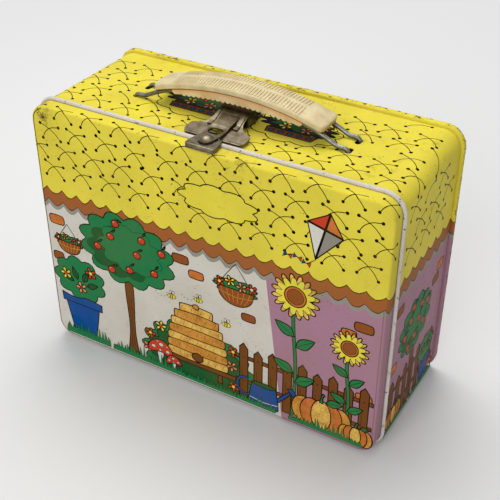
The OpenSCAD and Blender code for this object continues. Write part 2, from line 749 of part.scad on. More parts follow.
// Round bend of a wire in the XZ plane; it stops a hair before the sleeve that joins it to the next piece
module wire_bend(r, a0, a1) {
    trim = joint_trim / r * 180 / PI;
    rotate([90, 0, 0]) rotate([0, 0, a0 + trim]) rotate_extrude(angle = a1 - a0 - 2 * trim, $fn = 96)
        translate([r, 0]) circle(wire_r, $fn = 32);
}

// Straight piece of wire along Z
module wire_run(l) {
    translate([0, 0, joint_trim]) cylinder(h = l - 2 * joint_trim, r = wire_r, $fn = 32);
}

// Short sleeve, a hair over the wire, that carries it from one curve into the next; a is its slope
module wire_joint(x, z, a = 0) {
    translate([x, 0, z]) rotate([0, a, 0])
        cylinder(h = 4 * joint_trim, r = wire_r + 0.02, center = true, $fn = 32);
}

// One side of a handle wire, from the end of the arch to the foot below the band
module wire_side() {
    slope_l = norm([slope_x - neck_x, neck_z - slope_z]);
    turn_x = leg_x - bend_r;
    wire_joint(wire_arc_r * sin(wire_a), arch_z + wire_arc_r * cos(wire_a), 90 + wire_a);
    translate([neck_x - neck_r * sin(neck_a), 0, neck_z - neck_r * cos(neck_a)])
        wire_bend(neck_r, 90 - neck_a, 90 - wire_a);
    wire_joint(neck_x, neck_z, 90 + neck_a);
    translate([neck_x, 0, neck_z]) rotate([0, 90 + neck_a, 0]) wire_run(slope_l);
    wire_joint(slope_x, slope_z, 90 + neck_a);
    translate([toe_x, 0, wire_low_z + toe_r]) wire_bend(toe_r, 270 - neck_a, 270);
    wire_joint(toe_x, wire_low_z, 90);
    translate([toe_x, 0, wire_low_z]) rotate([0, 90, 0]) wire_run(turn_x - toe_x);
    wire_joint(turn_x, wire_low_z, 90);
    translate([turn_x, 0, wire_low_z - bend_r]) wire_bend(bend_r, 0, 90);
    wire_joint(leg_x, wire_low_z - bend_r);
    translate([leg_x, 0, foot_z + bend_r]) wire_run(wire_low_z - foot_z - 2 * bend_r);
    wire_joint(leg_x, foot_z + bend_r);
    translate([turn_x, 0, foot_z + bend_r]) wire_bend(bend_r, 270, 360);
    wire_joint(turn_x, foot_z, 90);
    translate([turn_x, 0, foot_z]) rotate([0, -90, 0]) wire_run(foot_l);
}

module handle_wire(y) {
    color("#8c8c82") place() translate([fittings_x, y, 0]) {
        translate([0, 0, arch_z]) wire_bend(wire_arc_r, 90 - wire_a, 90 + wire_a);
        wire_side();
        mirror([1, 0, 0]) wire_side();
    }
}

module handle_wire_front() handle_wire(wire_y[0]);

module handle_wire_rear() handle_wire(wire_y[1]);

// ---- Hinges ----

module knuckle(x0, x1) {
    translate([x0, axis_y, axis_z]) rotate([0, 90, 0]) cylinder(h = x1 - x0, r = knuckle_r);
}

module hinge_bore() {
    translate([-hinge_l, axis_y, axis_z]) rotate([0, 90, 0])
        cylinder(h = 2 * hinge_l, r = hinge_pin_r + pin_play);
}

// Leaf on the bottom of the band, with the two outer knuckles
module hinge_body_leaf(s) {
    color("#8c8c82") place() translate([s * hinge_x, 0, 0]) difference() {
        union() {
            translate([-hinge_l / 2, leaf_y, wall_z + sheet_t])
                cube([hinge_l, axis_y + leaf_d - leaf_y, leaf_t]);
            for (k = [-1, 1]) {
                x0 = k < 0 ? -hinge_l / 2 : hinge_l / 2 - knuckle_l;
                knuckle(x0, x0 + knuckle_l);
                translate([x0, axis_y, wall_z + sheet_t]) cube([knuckle_l, leaf_y - axis_y + 0.5, leaf_t]);
            }
        }
        hinge_bore();
        rivet_holes(body_rivet_y);
    }
}

// Leaf inside the lid skirt, with the middle knuckle
module hinge_lid_leaf(s) {
    color("#8c8c82") place() translate([s * hinge_x, 0, 0]) difference() {
        union() {
            translate([-hinge_l / 2, lid_leaf_y, wall_z + sheet_t])
                cube([hinge_l, axis_y - knuckle_r - 0.4 - lid_leaf_y, leaf_t]);
            knuckle(-knuckle_l / 2, knuckle_l / 2);
            translate([-knuckle_l / 2, axis_y - knuckle_r - 0.5, wall_z + sheet_t])
                cube([knuckle_l, knuckle_r + 0.5, leaf_t]);
        }
        hinge_bore();
        rivet_holes(lid_rivet_y);
    }
}

module hinge_pin(s) {
    color("#a0a098") place() translate([s * hinge_x - hinge_l / 2, axis_y, axis_z]) rotate([0, 90, 0])
        cylinder(h = hinge_l, r = hinge_pin_r);
}

module hinge_body_leaf_left() hinge_body_leaf(-1);

module hinge_body_leaf_right() hinge_body_leaf(1);

module hinge_lid_leaf_left() hinge_lid_leaf(-1);

module hinge_lid_leaf_right() hinge_lid_leaf(1);

module hinge_pin_left() hinge_pin(-1);

module hinge_pin_right() hinge_pin(1);

module hinge_rivets(y) {
    color("#a0a098") place() at_hinges() for (s = [-1, 1])
        translate([s * rivet_x, y, wall_z]) rivet(sheet_t + leaf_t);
}

module hinge_body_rivets() hinge_rivets(body_rivet_y);

module hinge_lid_rivets() hinge_rivets(lid_rivet_y);

// ---- Bottle clip ----

module clip_arc(r, a0, a1) {
    trim = joint_trim / r * 180 / PI;
    rotate([90, 0, 0]) rotate([0, 0, a0 + trim]) rotate_extrude(angle = a1 - a0 - 2 * trim, $fn = 96)
        translate([r, 0]) circle(clip_r, $fn = 32);
}

module clip_run(l) {
    translate([0, 0, joint_trim]) cylinder(h = l - 2 * joint_trim, r = clip_r, $fn = 32);
}

module clip_joint(x, z, a = 0) {
    translate([x, 0, z]) rotate([0, a, 0])
        cylinder(h = 4 * joint_trim, r = clip_r + 0.02, center = true, $fn = 32);
}

// Upper half of the clip: pivot stub, knee, arm and corner
module clip_half() {
    knee_z = arm_z + clip_knee_r;
    turn_x = clip_reach - clip_bend_r;
    translate([0, 0, knee_z]) clip_run(stub_l);
    clip_joint(0, knee_z);
    translate([clip_knee_r, 0, knee_z]) clip_arc(clip_knee_r, 180, 270);
    clip_joint(clip_knee_r, arm_z, 90);
    translate([clip_knee_r, 0, arm_z]) rotate([0, 90, 0]) clip_run(turn_x - clip_knee_r);
    clip_joint(turn_x, arm_z, 90);
    translate([turn_x, 0, arm_z - clip_bend_r]) clip_arc(clip_bend_r, 0, 90);
    clip_joint(clip_reach, arm_z - clip_bend_r);
}

module bottle_clip_wire() {
    far_h = 2 * (arm_z - clip_bend_r);
    color("#9a9a92") place() translate([clip_x, clip_y, clip_z]) {
        translate([clip_reach, 0, -far_h / 2]) clip_run(far_h);
        clip_half();
        mirror([0, 0, 1]) clip_half();
    }
}

// Bracket on the back panel: a foot under a rivet and an ear round the clip's stub
module bottle_clip_bracket(side) {
    ear_z = arm_z + clip_knee_r + bracket_gap;
    color("#8c8c82") place() translate([clip_x, 0, clip_z]) scale_z(side) difference() {
        union() {
            translate([-bracket_w / 2, panel_y - bracket_t, ear_z]) cube([bracket_w, bracket_t, 16]);
            translate([0, clip_y, ear_z]) cylinder(h = bracket_t, r = bracket_w / 4);
            translate([-bracket_w / 4, clip_y, ear_z]) cube([bracket_w / 2, panel_y - clip_y, bracket_t]);
        }
        translate([0, clip_y, ear_z - 1]) cylinder(h = bracket_t + 2, r = clip_r + clip_play);
        translate([0, panel_y + 1, ear_z + 9]) rotate([90, 0, 0]) cylinder(h = bracket_t + 2, r = rivet_r);
    }
}

module scale_z(side) {
    mirror([0, 0, side > 0 ? 0 : 1]) children();
}

module bracket_rivet_places() {
    for (s = [-1, 1]) translate([clip_x, panel_y, clip_z + s * (arm_z + clip_knee_r + bracket_gap + 9)])
        children();
}

module bottle_clip_bracket_upper() bottle_clip_bracket(1);

module bottle_clip_bracket_lower() bottle_clip_bracket(-1);

module bottle_clip_rivets() {
    color("#a0a098") place() bracket_rivet_places() translate([0, sheet_t, 0]) rotate([90, 0, 0])
        rivet(sheet_t + bracket_t);
}

lid_pan();
band();
back_panel();
latch_base();
latch_lever();
latch_pin();
latch_spring();
latch_base_rivets();
lid_catch();
handle_top_grip();
handle_lower_grip();
handle_wire_front();
handle_wire_rear();
hinge_body_leaf_left();
hinge_body_leaf_right();
hinge_lid_leaf_left();
hinge_lid_leaf_right();
hinge_pin_left();
hinge_pin_right();
hinge_body_rivets();
hinge_lid_rivets();
bottle_clip_wire();
bottle_clip_bracket_upper();
bottle_clip_bracket_lower();
bottle_clip_rivets();
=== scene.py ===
import bmesh
import bpy
import math
import random
from mathutils import Matrix, Vector, geometry


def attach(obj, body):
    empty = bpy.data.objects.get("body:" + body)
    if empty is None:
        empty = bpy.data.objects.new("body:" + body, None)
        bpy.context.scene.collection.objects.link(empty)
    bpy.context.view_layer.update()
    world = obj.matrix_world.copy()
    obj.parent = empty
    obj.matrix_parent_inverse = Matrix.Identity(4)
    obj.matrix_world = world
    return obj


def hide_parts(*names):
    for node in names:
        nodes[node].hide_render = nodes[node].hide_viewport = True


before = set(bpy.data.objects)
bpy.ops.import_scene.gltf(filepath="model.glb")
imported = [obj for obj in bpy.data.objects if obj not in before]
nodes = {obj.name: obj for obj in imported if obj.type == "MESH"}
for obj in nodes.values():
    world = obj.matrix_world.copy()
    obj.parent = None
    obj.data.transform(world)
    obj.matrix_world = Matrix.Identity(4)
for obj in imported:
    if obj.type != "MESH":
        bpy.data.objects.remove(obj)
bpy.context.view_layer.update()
mm = 0.001

# ---------------------------------------------------------------- lid pan
# The lid is one drawing of thin tinplate. The flat sheet is printed by offset lithography in a few
# flat inks and varnished, then pressed to shape, and its edge is rolled to a bead. Inside it keeps
# a clear lacquer over the tin.

FACE_Y, BACK_Y = -43.9, 41.8                  # the lid's face, and the back panel's
BEAD_Y = -35.4                                # from here back the rolled bead, printed white
HALF_SHEET = 0.25                             # half the thickness of the tinplate
HALF_W, HALF_H, CORNER = 108.0, 79.2, 10.0    # the walls' outline, and its corner radius
MID_Z = 81.0                                  # height of the walls' middle
TOP_Z = 160.2                                 # the top of the walls
EAVES_Z = 102.2                               # middle of the brown scalloped band on the walls
EAVES_W, SWAG, RAGGED = 10.5, 3.6, 2.4        # width of one scallop, its depth, and its unevenness
FOLD = 1.6                                    # radius of the fold between face and skirt


def ink_colour(code):
    """A printer's sRGB hex colour as linear red, green, blue and alpha."""
    parts = [int(code[i:i + 2], 16) / 255 for i in (0, 2, 4)]
    return [p / 12.92 if p <= 0.04045 else ((p + 0.055) / 1.055) ** 2.4 for p in parts] + [1.0]


def add(tree, kind, *feeds, out=0, **values):
    """Adds a node: its first inputs in order, then others by name or number, and its settings.

    A text given to an input is a colour's hex code.
    """
    node = tree.nodes.new("ShaderNode" + kind)
    named = {key: value for key, value in values.items() if key[0] == "_" or key[0].isupper()}
    for key, value in values.items():
        if key not in named:
            setattr(node, key, value)
    pairs = list(enumerate(feeds)) + [(int(key[1:]) if key[0] == "_" else key.replace("_", " "), value)
                                      for key, value in named.items()]
    for key, value in pairs:
        if isinstance(value, bpy.types.NodeSocket):
            tree.links.new(value, node.inputs[key])
        else:
            node.inputs[key].default_value = ink_colour(value) if isinstance(value, str) else value
    return node.outputs[out] if node.outputs and out is not None else node


def new_finish(name):
    """An empty material with its shader, and the object's own coordinates in millimetres."""
    material = bpy.data.materials.new(name)
    material.use_nodes = True
    tree = material.node_tree
    tree.nodes.clear()
    shader = add(tree, "BsdfPrincipled", out=None)
    add(tree, "OutputMaterial", shader.outputs[0])
    at = add(tree, "VectorMath", add(tree, "TexCoord", out="Object"), operation="SCALE", Scale=1 / mm)
    return material, tree, shader, at


# dirt and knocks that can be told by place: point, reach and strength
STAINS = (((-101, -43, 157), 11, 0.55), ((24, -43.9, 157), 10, 0.40), ((66, -7, 160), 6, 0.30),
          ((66, 6, 160), 6, 0.30), ((88, -14, 160), 15, 0.20), ((99, 18, 159), 13, 0.22),
          ((-66, 0, 160), 8, 0.24), ((104, -42, 8), 8, 0.24), ((10, -38, 160), 10, 0.20))


def weather(tree, shader, at, ink, rubbed=None):
    """Old varnish over the print: it has drifted in tone, and is specked, scratched, stained and rubbed."""
    drift = add(tree, "TexNoise", at, Scale=0.03, Detail=3.0, Roughness=0.6)
    share = add(tree, "MapRange", drift, 0.35, 0.75, 0.0, 0.2)
    tone = add(tree, "Mix", share, _6=ink, _7="7E6A26", data_type="RGBA", out=2)
    # flecks about 0.5 mm across, where the sheet has been knocked
    fleck = add(tree, "TexNoise", at, Scale=1.1, Detail=3.0, Roughness=0.55)
    patchy = add(tree, "TexNoise", at, Scale=0.045, Detail=1.0)
    dirt = add(tree, "MapRange", patchy, 0.4, 0.75, 0.0, 0.1)
    smear = add(tree, "TexNoise", at, Scale=0.16, Detail=4.0, Roughness=0.6)
    grime = 0.0
    for point, reach, strength in STAINS:
        near = add(tree, "VectorMath", at, point, operation="DISTANCE", out=1)
        near = add(tree, "MapRange", near, reach, 0.0, 0.0, strength)
        grime = add(tree, "Math", near, grime, operation="MAXIMUM")
    grime = add(tree, "Math", grime, add(tree, "MapRange", smear, 0.42, 0.6), operation="MULTIPLY")
    brown = add(tree, "Math", grime, 0.9, smear, operation="MULTIPLY_ADD")
    brown = add(tree, "MapRange", brown, 0.6, 0.95, 0.0, 0.5)
    tone = add(tree, "Mix", brown, _6=tone, _7="6B5320", data_type="RGBA", out=2)
    dirt = add(tree, "Math", grime, 0.42, dirt, operation="MULTIPLY_ADD")
    marks = add(tree, "MapRange", add(tree, "Math", fleck, dirt, operation="ADD"), 0.735, 0.765)
    # fine scratches, some centimetres long and a few tenths of a millimetre wide
    for turn, stretch, edge in ((0.5, (0.035, 0.9, 0.9), 0.75), (-0.9, (0.05, 1.1, 1.1), 0.765)):
        lean = add(tree, "VectorRotate", at, Angle=turn, Axis=(0.25, 0.95, 0.2))
        lean = add(tree, "VectorMath", lean, stretch, operation="MULTIPLY")
        hair = add(tree, "TexNoise", lean, Scale=1.0, Detail=2.0, Roughness=0.5)
        hair = add(tree, "Math", grime, 0.25, hair, operation="MULTIPLY_ADD")
        hair = add(tree, "MapRange", hair, edge, edge + 0.03, 0.0, 0.5)
        marks = add(tree, "Math", marks, hair, operation="MAXIMUM")
    if rubbed is not None:
        rub = add(tree, "TexNoise", at, Scale=0.35, Detail=5.0, Roughness=0.75)
        rub = add(tree, "Math", rub, rubbed, operation="ADD")
        marks = add(tree, "Math", marks, add(tree, "MapRange", rub, 0.88, 0.96), operation="MAXIMUM")
    bare = add(tree, "Mix", smear, _6="2C241A", _7="6E665A", data_type="RGBA", out=2)
    worn = add(tree, "Mix", marks, _6=tone, _7=bare, data_type="RGBA", out=2)
    tree.links.new(worn, shader.inputs["Base Color"])
    grain = add(tree, "TexNoise", at, Scale=0.5, Detail=5.0, Roughness=0.65)
    gloss = add(tree, "MapRange", grain, 0.3, 0.7, 0.24, 0.36)
    dull = add(tree, "Math", marks, brown, operation="MAXIMUM")
    gloss = add(tree, "Math", dull, 0.25, gloss, operation="MULTIPLY_ADD")
    tree.links.new(gloss, shader.inputs["Roughness"])
    dents = add(tree, "TexNoise", at, Scale=0.02, Detail=1.5)
    relief = add(tree, "Math", dents, 14.0, operation="MULTIPLY")
    relief = add(tree, "Math", relief, marks, operation="SUBTRACT")
    tree.links.new(add(tree, "Bump", 0.25, 0.0001, Height=relief), shader.inputs["Normal"])
    shader.inputs["Specular IOR Level"].default_value = 0.01     # the varnish has gone dull


def tinplate(name, piece):
    """Printed tinplate: flat fields of ink outside, lacquered tin inside, worn to steel at the folds."""
    material, tree, shader, at = new_finish(name)
    x, y, z = add(tree, "SeparateXYZ", at, out=None).outputs
    # distance out from the walls' rounded outline, which tells inside, outside and rim apart
    across = add(tree, "Math", x, operation="ABSOLUTE")
    across = add(tree, "Math", across, HALF_W - CORNER, operation="SUBTRACT")
    height = add(tree, "Math", add(tree, "Math", z, MID_Z, operation="SUBTRACT"), operation="ABSOLUTE")
    height = add(tree, "Math", height, HALF_H - CORNER, operation="SUBTRACT")
    reach = add(tree, "VectorMath", add(tree, "CombineXYZ", across, height), (0, 0, 0), operation="MAXIMUM")
    around = add(tree, "VectorMath", reach, operation="LENGTH", out=1)
    deep = add(tree, "Math", add(tree, "Math", across, height, operation="MAXIMUM"), 0.0, operation="MINIMUM")
    out = add(tree, "Math", add(tree, "Math", around, deep, operation="ADD"), CORNER, operation="SUBTRACT")
    inside = add(tree, "Math", out, -HALF_SHEET, operation="LESS_THAN")
    if piece == "lid":
        # inside follows the fold from the face round to the skirt
        past = add(tree, "Math", add(tree, "Math", out, FOLD, operation="ADD"), 0.0, operation="MAXIMUM")
        front = add(tree, "Math", FACE_Y + FOLD, y, operation="SUBTRACT")
        front = add(tree, "Math", front, 0.0, operation="MAXIMUM")
        turned = add(tree, "VectorMath", add(tree, "CombineXYZ", past, front), operation="LENGTH", out=1)
        inside = add(tree, "Math", turned, FOLD - HALF_SHEET, operation="LESS_THAN")
    elif piece == "back":
        ahead = add(tree, "Math", y, BACK_Y - HALF_SHEET, operation="LESS_THAN")
        inside = add(tree, "Math", inside, ahead, operation="MULTIPLY")
    # the yellow field hangs over the brown band in shallow swags, and the band over the wall
    along = add(tree, "Math", x, y, operation="ADD")
    along = add(tree, "Math", along, math.pi / EAVES_W, operation="MULTIPLY")
    swag = add(tree, "Math", add(tree, "Math", along, operation="SINE"), operation="ABSOLUTE")
    ragged = add(tree, "TexNoise", at, Scale=0.16, Detail=2.0)
    level = add(tree, "Math", swag, SWAG, z, operation="MULTIPLY_ADD")
    level = add(tree, "Math", ragged, RAGGED, level, operation="MULTIPLY_ADD")
    # the wall under it turns from chalk to mauve at a leaning line
    field = add(tree, "Math", z, 0.12, x, operation="MULTIPLY_ADD")
    field = add(tree, "Math", field, 52.0, operation="GREATER_THAN")
    ink = add(tree, "Mix", field, _6="C9C4BA", _7="A1788A", data_type="RGBA", out=2)
    for edge, colour in ((EAVES_Z - 2.6, "8F8A80"), (EAVES_Z + 0.2, "1A1412"), (EAVES_Z + 0.7, "9A5A31"),
                         (EAVES_Z + 8.0, "1A1412"), (EAVES_Z + 8.6, "DBCB46")):
        above = add(tree, "Math", level, edge, operation="GREATER_THAN")
        ink = add(tree, "Mix", above, _6=ink, _7=colour, data_type="RGBA", out=2)
    if piece == "lid":
        # a dark line, 0.6 wide and 1.5 in from the edge, frames the picture along the fold; the sky
        # runs over it at the top, and it fades to the right
        frame_line = add(tree, "Math", add(tree, "Math", out, 1.5, operation="ADD"), operation="ABSOLUTE")
        frame_line = add(tree, "Math", frame_line, 0.3, operation="LESS_THAN")
        below = add(tree, "Math", level, EAVES_Z, operation="LESS_THAN")
        left = add(tree, "Math", x, 8.0 - HALF_W, operation="LESS_THAN")
        for share in (add(tree, "Math", below, left, operation="MAXIMUM"),
                      add(tree, "Math", y, FACE_Y + FOLD / 2, operation="LESS_THAN"),
                      add(tree, "MapRange", x, 20.0, 70.0, 0.9, 0.35)):
            frame_line = add(tree, "Math", frame_line, share, operation="MULTIPLY")
        ink = add(tree, "Mix", frame_line, _6=ink, _7="2A1E14", data_type="RGBA", out=2)
        bead = add(tree, "Math", y, BEAD_Y, operation="GREATER_THAN")
        ink = add(tree, "Mix", bead, _6=ink, _7="CDC7C1", data_type="RGBA", out=2)
        # worn along the fold of the face and on the corners
        fold = add(tree, "Math", y, FACE_Y + FOLD * 0.4, operation="SUBTRACT")
        fold = add(tree, "Math", fold, operation="ABSOLUTE")
        near = add(tree, "MapRange", fold, 0.0, 1.8, 0.31, 0.0)
        rim = add(tree, "MapRange", out, -2.4, -0.4, 0.0, 1.0)
        rubbed = add(tree, "Math", near, rim, operation="MULTIPLY")
        rubbed = add(tree, "Math", bead, 0.29, rubbed, operation="MULTIPLY_ADD")
    else:
        rubbed = add(tree, "MapRange", out, 0.9, 1.8, 0.0, 0.36)
    lacquer = add(tree, "TexNoise", at, Scale=0.05, Detail=3.0)
    lacquer = add(tree, "Mix", lacquer, _6="D2CABA", _7="B5AC98", data_type="RGBA", out=2)
    ink = add(tree, "Mix", inside, _6=ink, _7=lacquer, data_type="RGBA", out=2)
    weather(tree, shader, at, ink, rubbed)
    tree.links.new(add(tree, "Math", inside, 0.75, operation="MULTIPLY"), shader.inputs["Metallic"])
    return material


def coat(material, *names):
    """Gives these nodes the material in place of their plain one."""
    for name in names:
        nodes[name].data.materials.clear()
        nodes[name].data.materials.append(material)


coat(tinplate("lithographed_tinplate_lid", "lid"), "lid_pan")

# ---------------------------------------------------------------- band and back panel
# The band is a strip of the same printed tinplate, wrapped round the box and joined underneath;
# the back panel is pressed with a recess and double-seamed onto the band's rear edge.

coat(tinplate("lithographed_tinplate_band", "band"), "band")
coat(tinplate("lithographed_tinplate_back", "back"), "back_panel")

# ---------------------------------------------------------------- printed picture
# The picture is printed on the flat sheet before it is pressed: a cottage garden under a quilted
# yellow sky. Opaque inks lie over each other, each field held in by a black key line.

KEY = 0.65     # width of the key line
FILM = 0.012   # thickness of one film of ink, drawn thicker than the real few thousandths
STITCH_U, STITCH_V = 19.2, 12.2    # pitch of the quilting's stitches
palette = (("key_black", "0E0B09"), ("straw_yellow", "DDCF45"), ("leaf_green", "1C7545"),
           ("deep_green", "12552F"), ("garden_blue", "08488C"), ("poppy_red", "C23A28"),
           ("brick_orange", "C8743A"), ("brick_brown", "8A4A24"), ("timber_brown", "6E3F20"),
           ("honey_tan", "CF9440"), ("pale_honey", "E6BE60"), ("chalk_white", "CFCAC0"),
           ("stone_grey", "8A857B"), ("blush", "DB8A68"))
ink_index = {name: number for number, (name, code) in enumerate(palette)}


def litho_ink(name, code):
    """One flat ink under the sheet's varnish; the warm ones carry a fine brown stipple."""
    material, tree, shader, at = new_finish("litho_ink_" + name)
    ink = code
    if name in ("honey_tan", "pale_honey", "brick_orange"):
        dots = add(tree, "TexVoronoi", at, Scale=1.4)
        share = add(tree, "TexNoise", at, Scale=0.16, Detail=2.0)
        share = add(tree, "Math", dots, -0.5, share, operation="MULTIPLY_ADD")
        share = add(tree, "MapRange", share, 0.1, 0.5, 0.0, 0.75)
        ink = add(tree, "Mix", share, _6=ink, _7="9A4E1E", data_type="RGBA", out=2)
    weather(tree, shader, at, ink)
    return material


inks = [litho_ink(name, code) for name, code in palette]


def spot(u, v, size=1.0, turn=0.0, level=0):
    """Where a motif stands on the sheet, its size and turn, and how many inks lie under it."""
    return (Matrix.Translation((u, v, level)) @ Matrix.Rotation(math.radians(turn), 4, "Z")
            @ Matrix.Diagonal((size, size, 1.0, 1.0)))


def patch(sheet, at, edge, ink, level=0, line=KEY):
    """Prints one field inside an outline, with its key line just inside the edge."""
    corners = [at @ Vector((x, y, level)) for x, y in edge]
    face = sheet.faces.new([sheet.verts.new(corner) for corner in corners])
    face.normal_update()
    if face.normal.z < 0:
        face.normal_flip()
    face.material_index = ink_index[ink]
    if line:
        rim = bmesh.ops.inset_region(sheet, faces=[face], thickness=line, use_boundary=True,
                                     use_even_offset=True)
        for strip in rim["faces"]:
            strip.material_index = ink_index["key_black"]


def scaled(points, w, h):
    """Points of an outline drawn one wide and one high, brought to its size."""
    return [(x * w, y * h) for x, y in points]


def rounded(points, sharp=(), steps=5, closed=True):
    """Points on a smooth line through the given ones, with a corner at each sharp one."""
    count = len(points)
    line = []
    for k in range(count if closed else count - 1):
        four = [(k + j) % count if closed else min(max(k + j, 0), count - 1) for j in (-1, 0, 1, 2)]
        before, start, end, after = (Vector(points[j]) for j in four)
        reach = (end - start).length / 3
        lead = start + (end - (start if k in sharp else before)).normalized() * reach
        trail = end - ((end if (k + 1) % count in sharp else after) - start).normalized() * reach
        line += [tuple(p) for p in geometry.interpolate_bezier(start, lead, trail, end, steps + 1)[:-1]]
    return line if closed else line + [tuple(points[-1])]


def oval(cx, cy, rx, ry=None, turn=0.0, count=20):
    """Points round an ellipse."""
    ry = rx if ry is None else ry
    cos, sin = math.cos(math.radians(turn)), math.sin(math.radians(turn))
    ring = [(rx * math.cos(a), ry * math.sin(a)) for a in (2 * math.pi * k / count for k in range(count))]
    return [(cx + x * cos - y * sin, cy + x * sin + y * cos) for x, y in ring]


def scallops(cx, cy, rx, ry, lobes, depth, power=1.0, steps=5):
    """Points round an ellipse whose edge swells in lobes, for tree crowns, clouds and petals."""
    count = lobes * steps
    ring = []
    for k in range(count):
        a = 2 * math.pi * k / count
        swell = 1 - depth + depth * abs(math.sin(lobes * a / 2)) ** power
        ring.append((cx + rx * swell * math.cos(a), cy + ry * swell * math.sin(a)))
    return ring


def stroke(sheet, at, points, width, ink="key_black", level=0):
    """Prints a line of even width."""
    count = len(points) - 1
    ribbon = bmesh.ops.create_grid(sheet, x_segments=count, y_segments=1, size=1.0)["verts"]
    path = [at @ Vector((x, y, level)) for x, y in points]
    for vert in ribbon:
        k = round((vert.co.x + 1) / 2 * count)
        way = (path[min(k + 1, count)] - path[max(k - 1, 0)]).normalized()
        vert.co = path[k] + Vector((-way.y, way.x, 0)) * (width / 2 if vert.co.y > 0 else -width / 2)
    for face in {face for vert in ribbon for face in vert.link_faces}:
        face.material_index = ink_index[ink]
        face.normal_update()
        if face.normal.z < 0:
            face.normal_flip()


def quilting(sheet, reach, seed, keep=None, flat=None):
    """Crossed stitches in staggered rows, where keep allows, knotted at each end that lies flat."""
    dice = random.Random(seed)
    (u0, u1), (v0, v1) = reach
    for row in range(math.floor(v0 / STITCH_V) - 1, math.ceil(v1 / STITCH_V) + 1):
        for column in range(math.floor(u0 / STITCH_U) - 1, math.ceil(u1 / STITCH_U) + 1):
            u = (column + 0.5 * (row % 2)) * STITCH_U + dice.uniform(-0.9, 0.9)
            v = row * STITCH_V + dice.uniform(-0.6, 0.6)
            at = spot(u, v, dice.uniform(0.92, 1.05), dice.uniform(-7, 7))
            for thread in (((-6.2, 4.5), (-2.4, 2.9), (2.6, -0.6), (6.3, -5.0)),
                           ((-6.0, -4.4), (-3.6, -0.6), (0.6, 2.2), (6.4, 3.2))):
                ends = [at @ Vector((x, y, 0)) for x, y in (thread[0], thread[-1])]
                if all(u0 < end.x < u1 and v0 < end.y < v1 and (not keep or keep(end.x, end.y))
                       for end in ends):
                    stroke(sheet, at, rounded(thread, steps=8, closed=False), 0.48)
                    for knot, end in zip((thread[0], thread[-1]), ends):
                        if not flat or flat(end.x, end.y):
                            patch(sheet, at, oval(*knot, 1.0, count=10), "key_black", 1, line=0)


def put(shape, name, *materials):
    """Makes a finished shape an object of the scene."""
    mesh = bpy.data.meshes.new(name)
    shape.to_mesh(mesh)
    shape.free()
    for material in materials:
        mesh.materials.append(material)
    piece = bpy.data.objects.new(name, mesh)
    bpy.context.scene.collection.objects.link(piece)
    return piece


def lay(sheet, name, place, body):
    """Brings the printed films onto the tin: place turns sheet coordinates into the box's own."""
    for vert in sheet.verts:
        u, v, level = vert.co
        vert.co = Vector(place(u, v, (level + 1) * FILM)) * mm
    bmesh.ops.remove_doubles(sheet, verts=sheet.verts, dist=1e-7)
    piece = put(sheet, name, *inks)
    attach(piece, body)


# petals and heart of the garden's flowers
POPPY, DAISY, ROSE = ("poppy_red", "straw_yellow"), ("straw_yellow", "poppy_red"), ("blush", "timber_brown")


def bloom(sheet, at, petals, heart, size, level=0):
    """Flower of five petals, seen from the front."""
    patch(sheet, at, scallops(0, 0, size, size, 5, 0.55, 0.6, 6), petals, level)
    patch(sheet, at, oval(0, 0, size * 0.32, count=10), heart, level + 1, line=0.3)


def leaf(sheet, at, length, width, ink="leaf_green", level=0):
    """Pointed leaf with its middle vein."""
    edge = scaled([(0, 0), (0.35, 1), (0.75, 0.7), (1, 0), (0.75, -0.6), (0.35, -1)], length, width / 2)
    patch(sheet, at, rounded(edge, sharp=(0, 3)), ink, level)
    stroke(sheet, at, [(length * 0.12, 0), (length * 0.5, 0.1), (length * 0.85, 0)], 0.28, level=level + 1)


def grass(sheet, at, length, height, seed):
    """Strip of tufted grass along the bottom edge, lower at its two ends."""
    dice = random.Random(seed)
    edge, x = [(0, 0)], 0.0
    while x < length - 2:
        lean = dice.uniform(-0.8, 0.7)
        tall = height * dice.uniform(0.45, 1.0) * math.sin(math.pi * (x + 2) / (length + 3)) ** 0.4
        edge += [(x + 0.5, height * 0.22), (x + 1.2 + lean, tall)]
        x += dice.uniform(1.7, 2.6)
        edge.append((x, height * 0.3))
    edge.append((length, 0))
    patch(sheet, at @ spot(0, 0.4), [(x * 1.004 - 0.2, y) for x, y in edge], "key_black", line=0)
    patch(sheet, at, edge, "leaf_green", 1, line=0)


def stone(sheet, at, width, height, ink):
    """Worn brick showing through the plaster."""
    edge = [(-1, -0.5), (-0.8, -1), (0.75, -1), (1, -0.6), (1, 0.5), (0.8, 1), (-0.7, 1), (-1, 0.6)]
    patch(sheet, at, rounded(scaled(edge, width / 2, height / 2)), ink)


def flower_pot(sheet, at, width, height, blooms):
    """Blue pot with a leafy shrub and a few flowers."""
    shrub = scallops(0, height + width * 0.48, width * 0.66, width * 0.55, 9, 0.16)
    patch(sheet, at, shrub, "leaf_green")
    for turn in (20, 62, 108, 150):
        x = width * 0.16 * math.cos(math.radians(turn))
        y = height + width * 0.3 + width * 0.14 * math.sin(math.radians(turn))
        leaf(sheet, at @ spot(x, y, 1.0, turn), width * 0.34, width * 0.15, "deep_green", 1)
    pot = ((-0.86, 0.82), (-0.6, 0), (0.6, 0), (0.86, 0.82))
    patch(sheet, at, scaled(pot, width / 2, height), "garden_blue", 3)
    rim = ((-1, 0.78), (1, 0.78), (1.02, 1), (0.3, 1.05), (-0.4, 0.98), (-1.02, 1.04))
    rim = rounded(scaled(rim, width / 2, height), sharp=(0, 1, 2, 5))
    patch(sheet, at, rim, "garden_blue", 4)
    for x, y, hues in blooms:
        bloom(sheet, at @ spot(x * width, height + y * width), *hues, width * 0.15, 4)


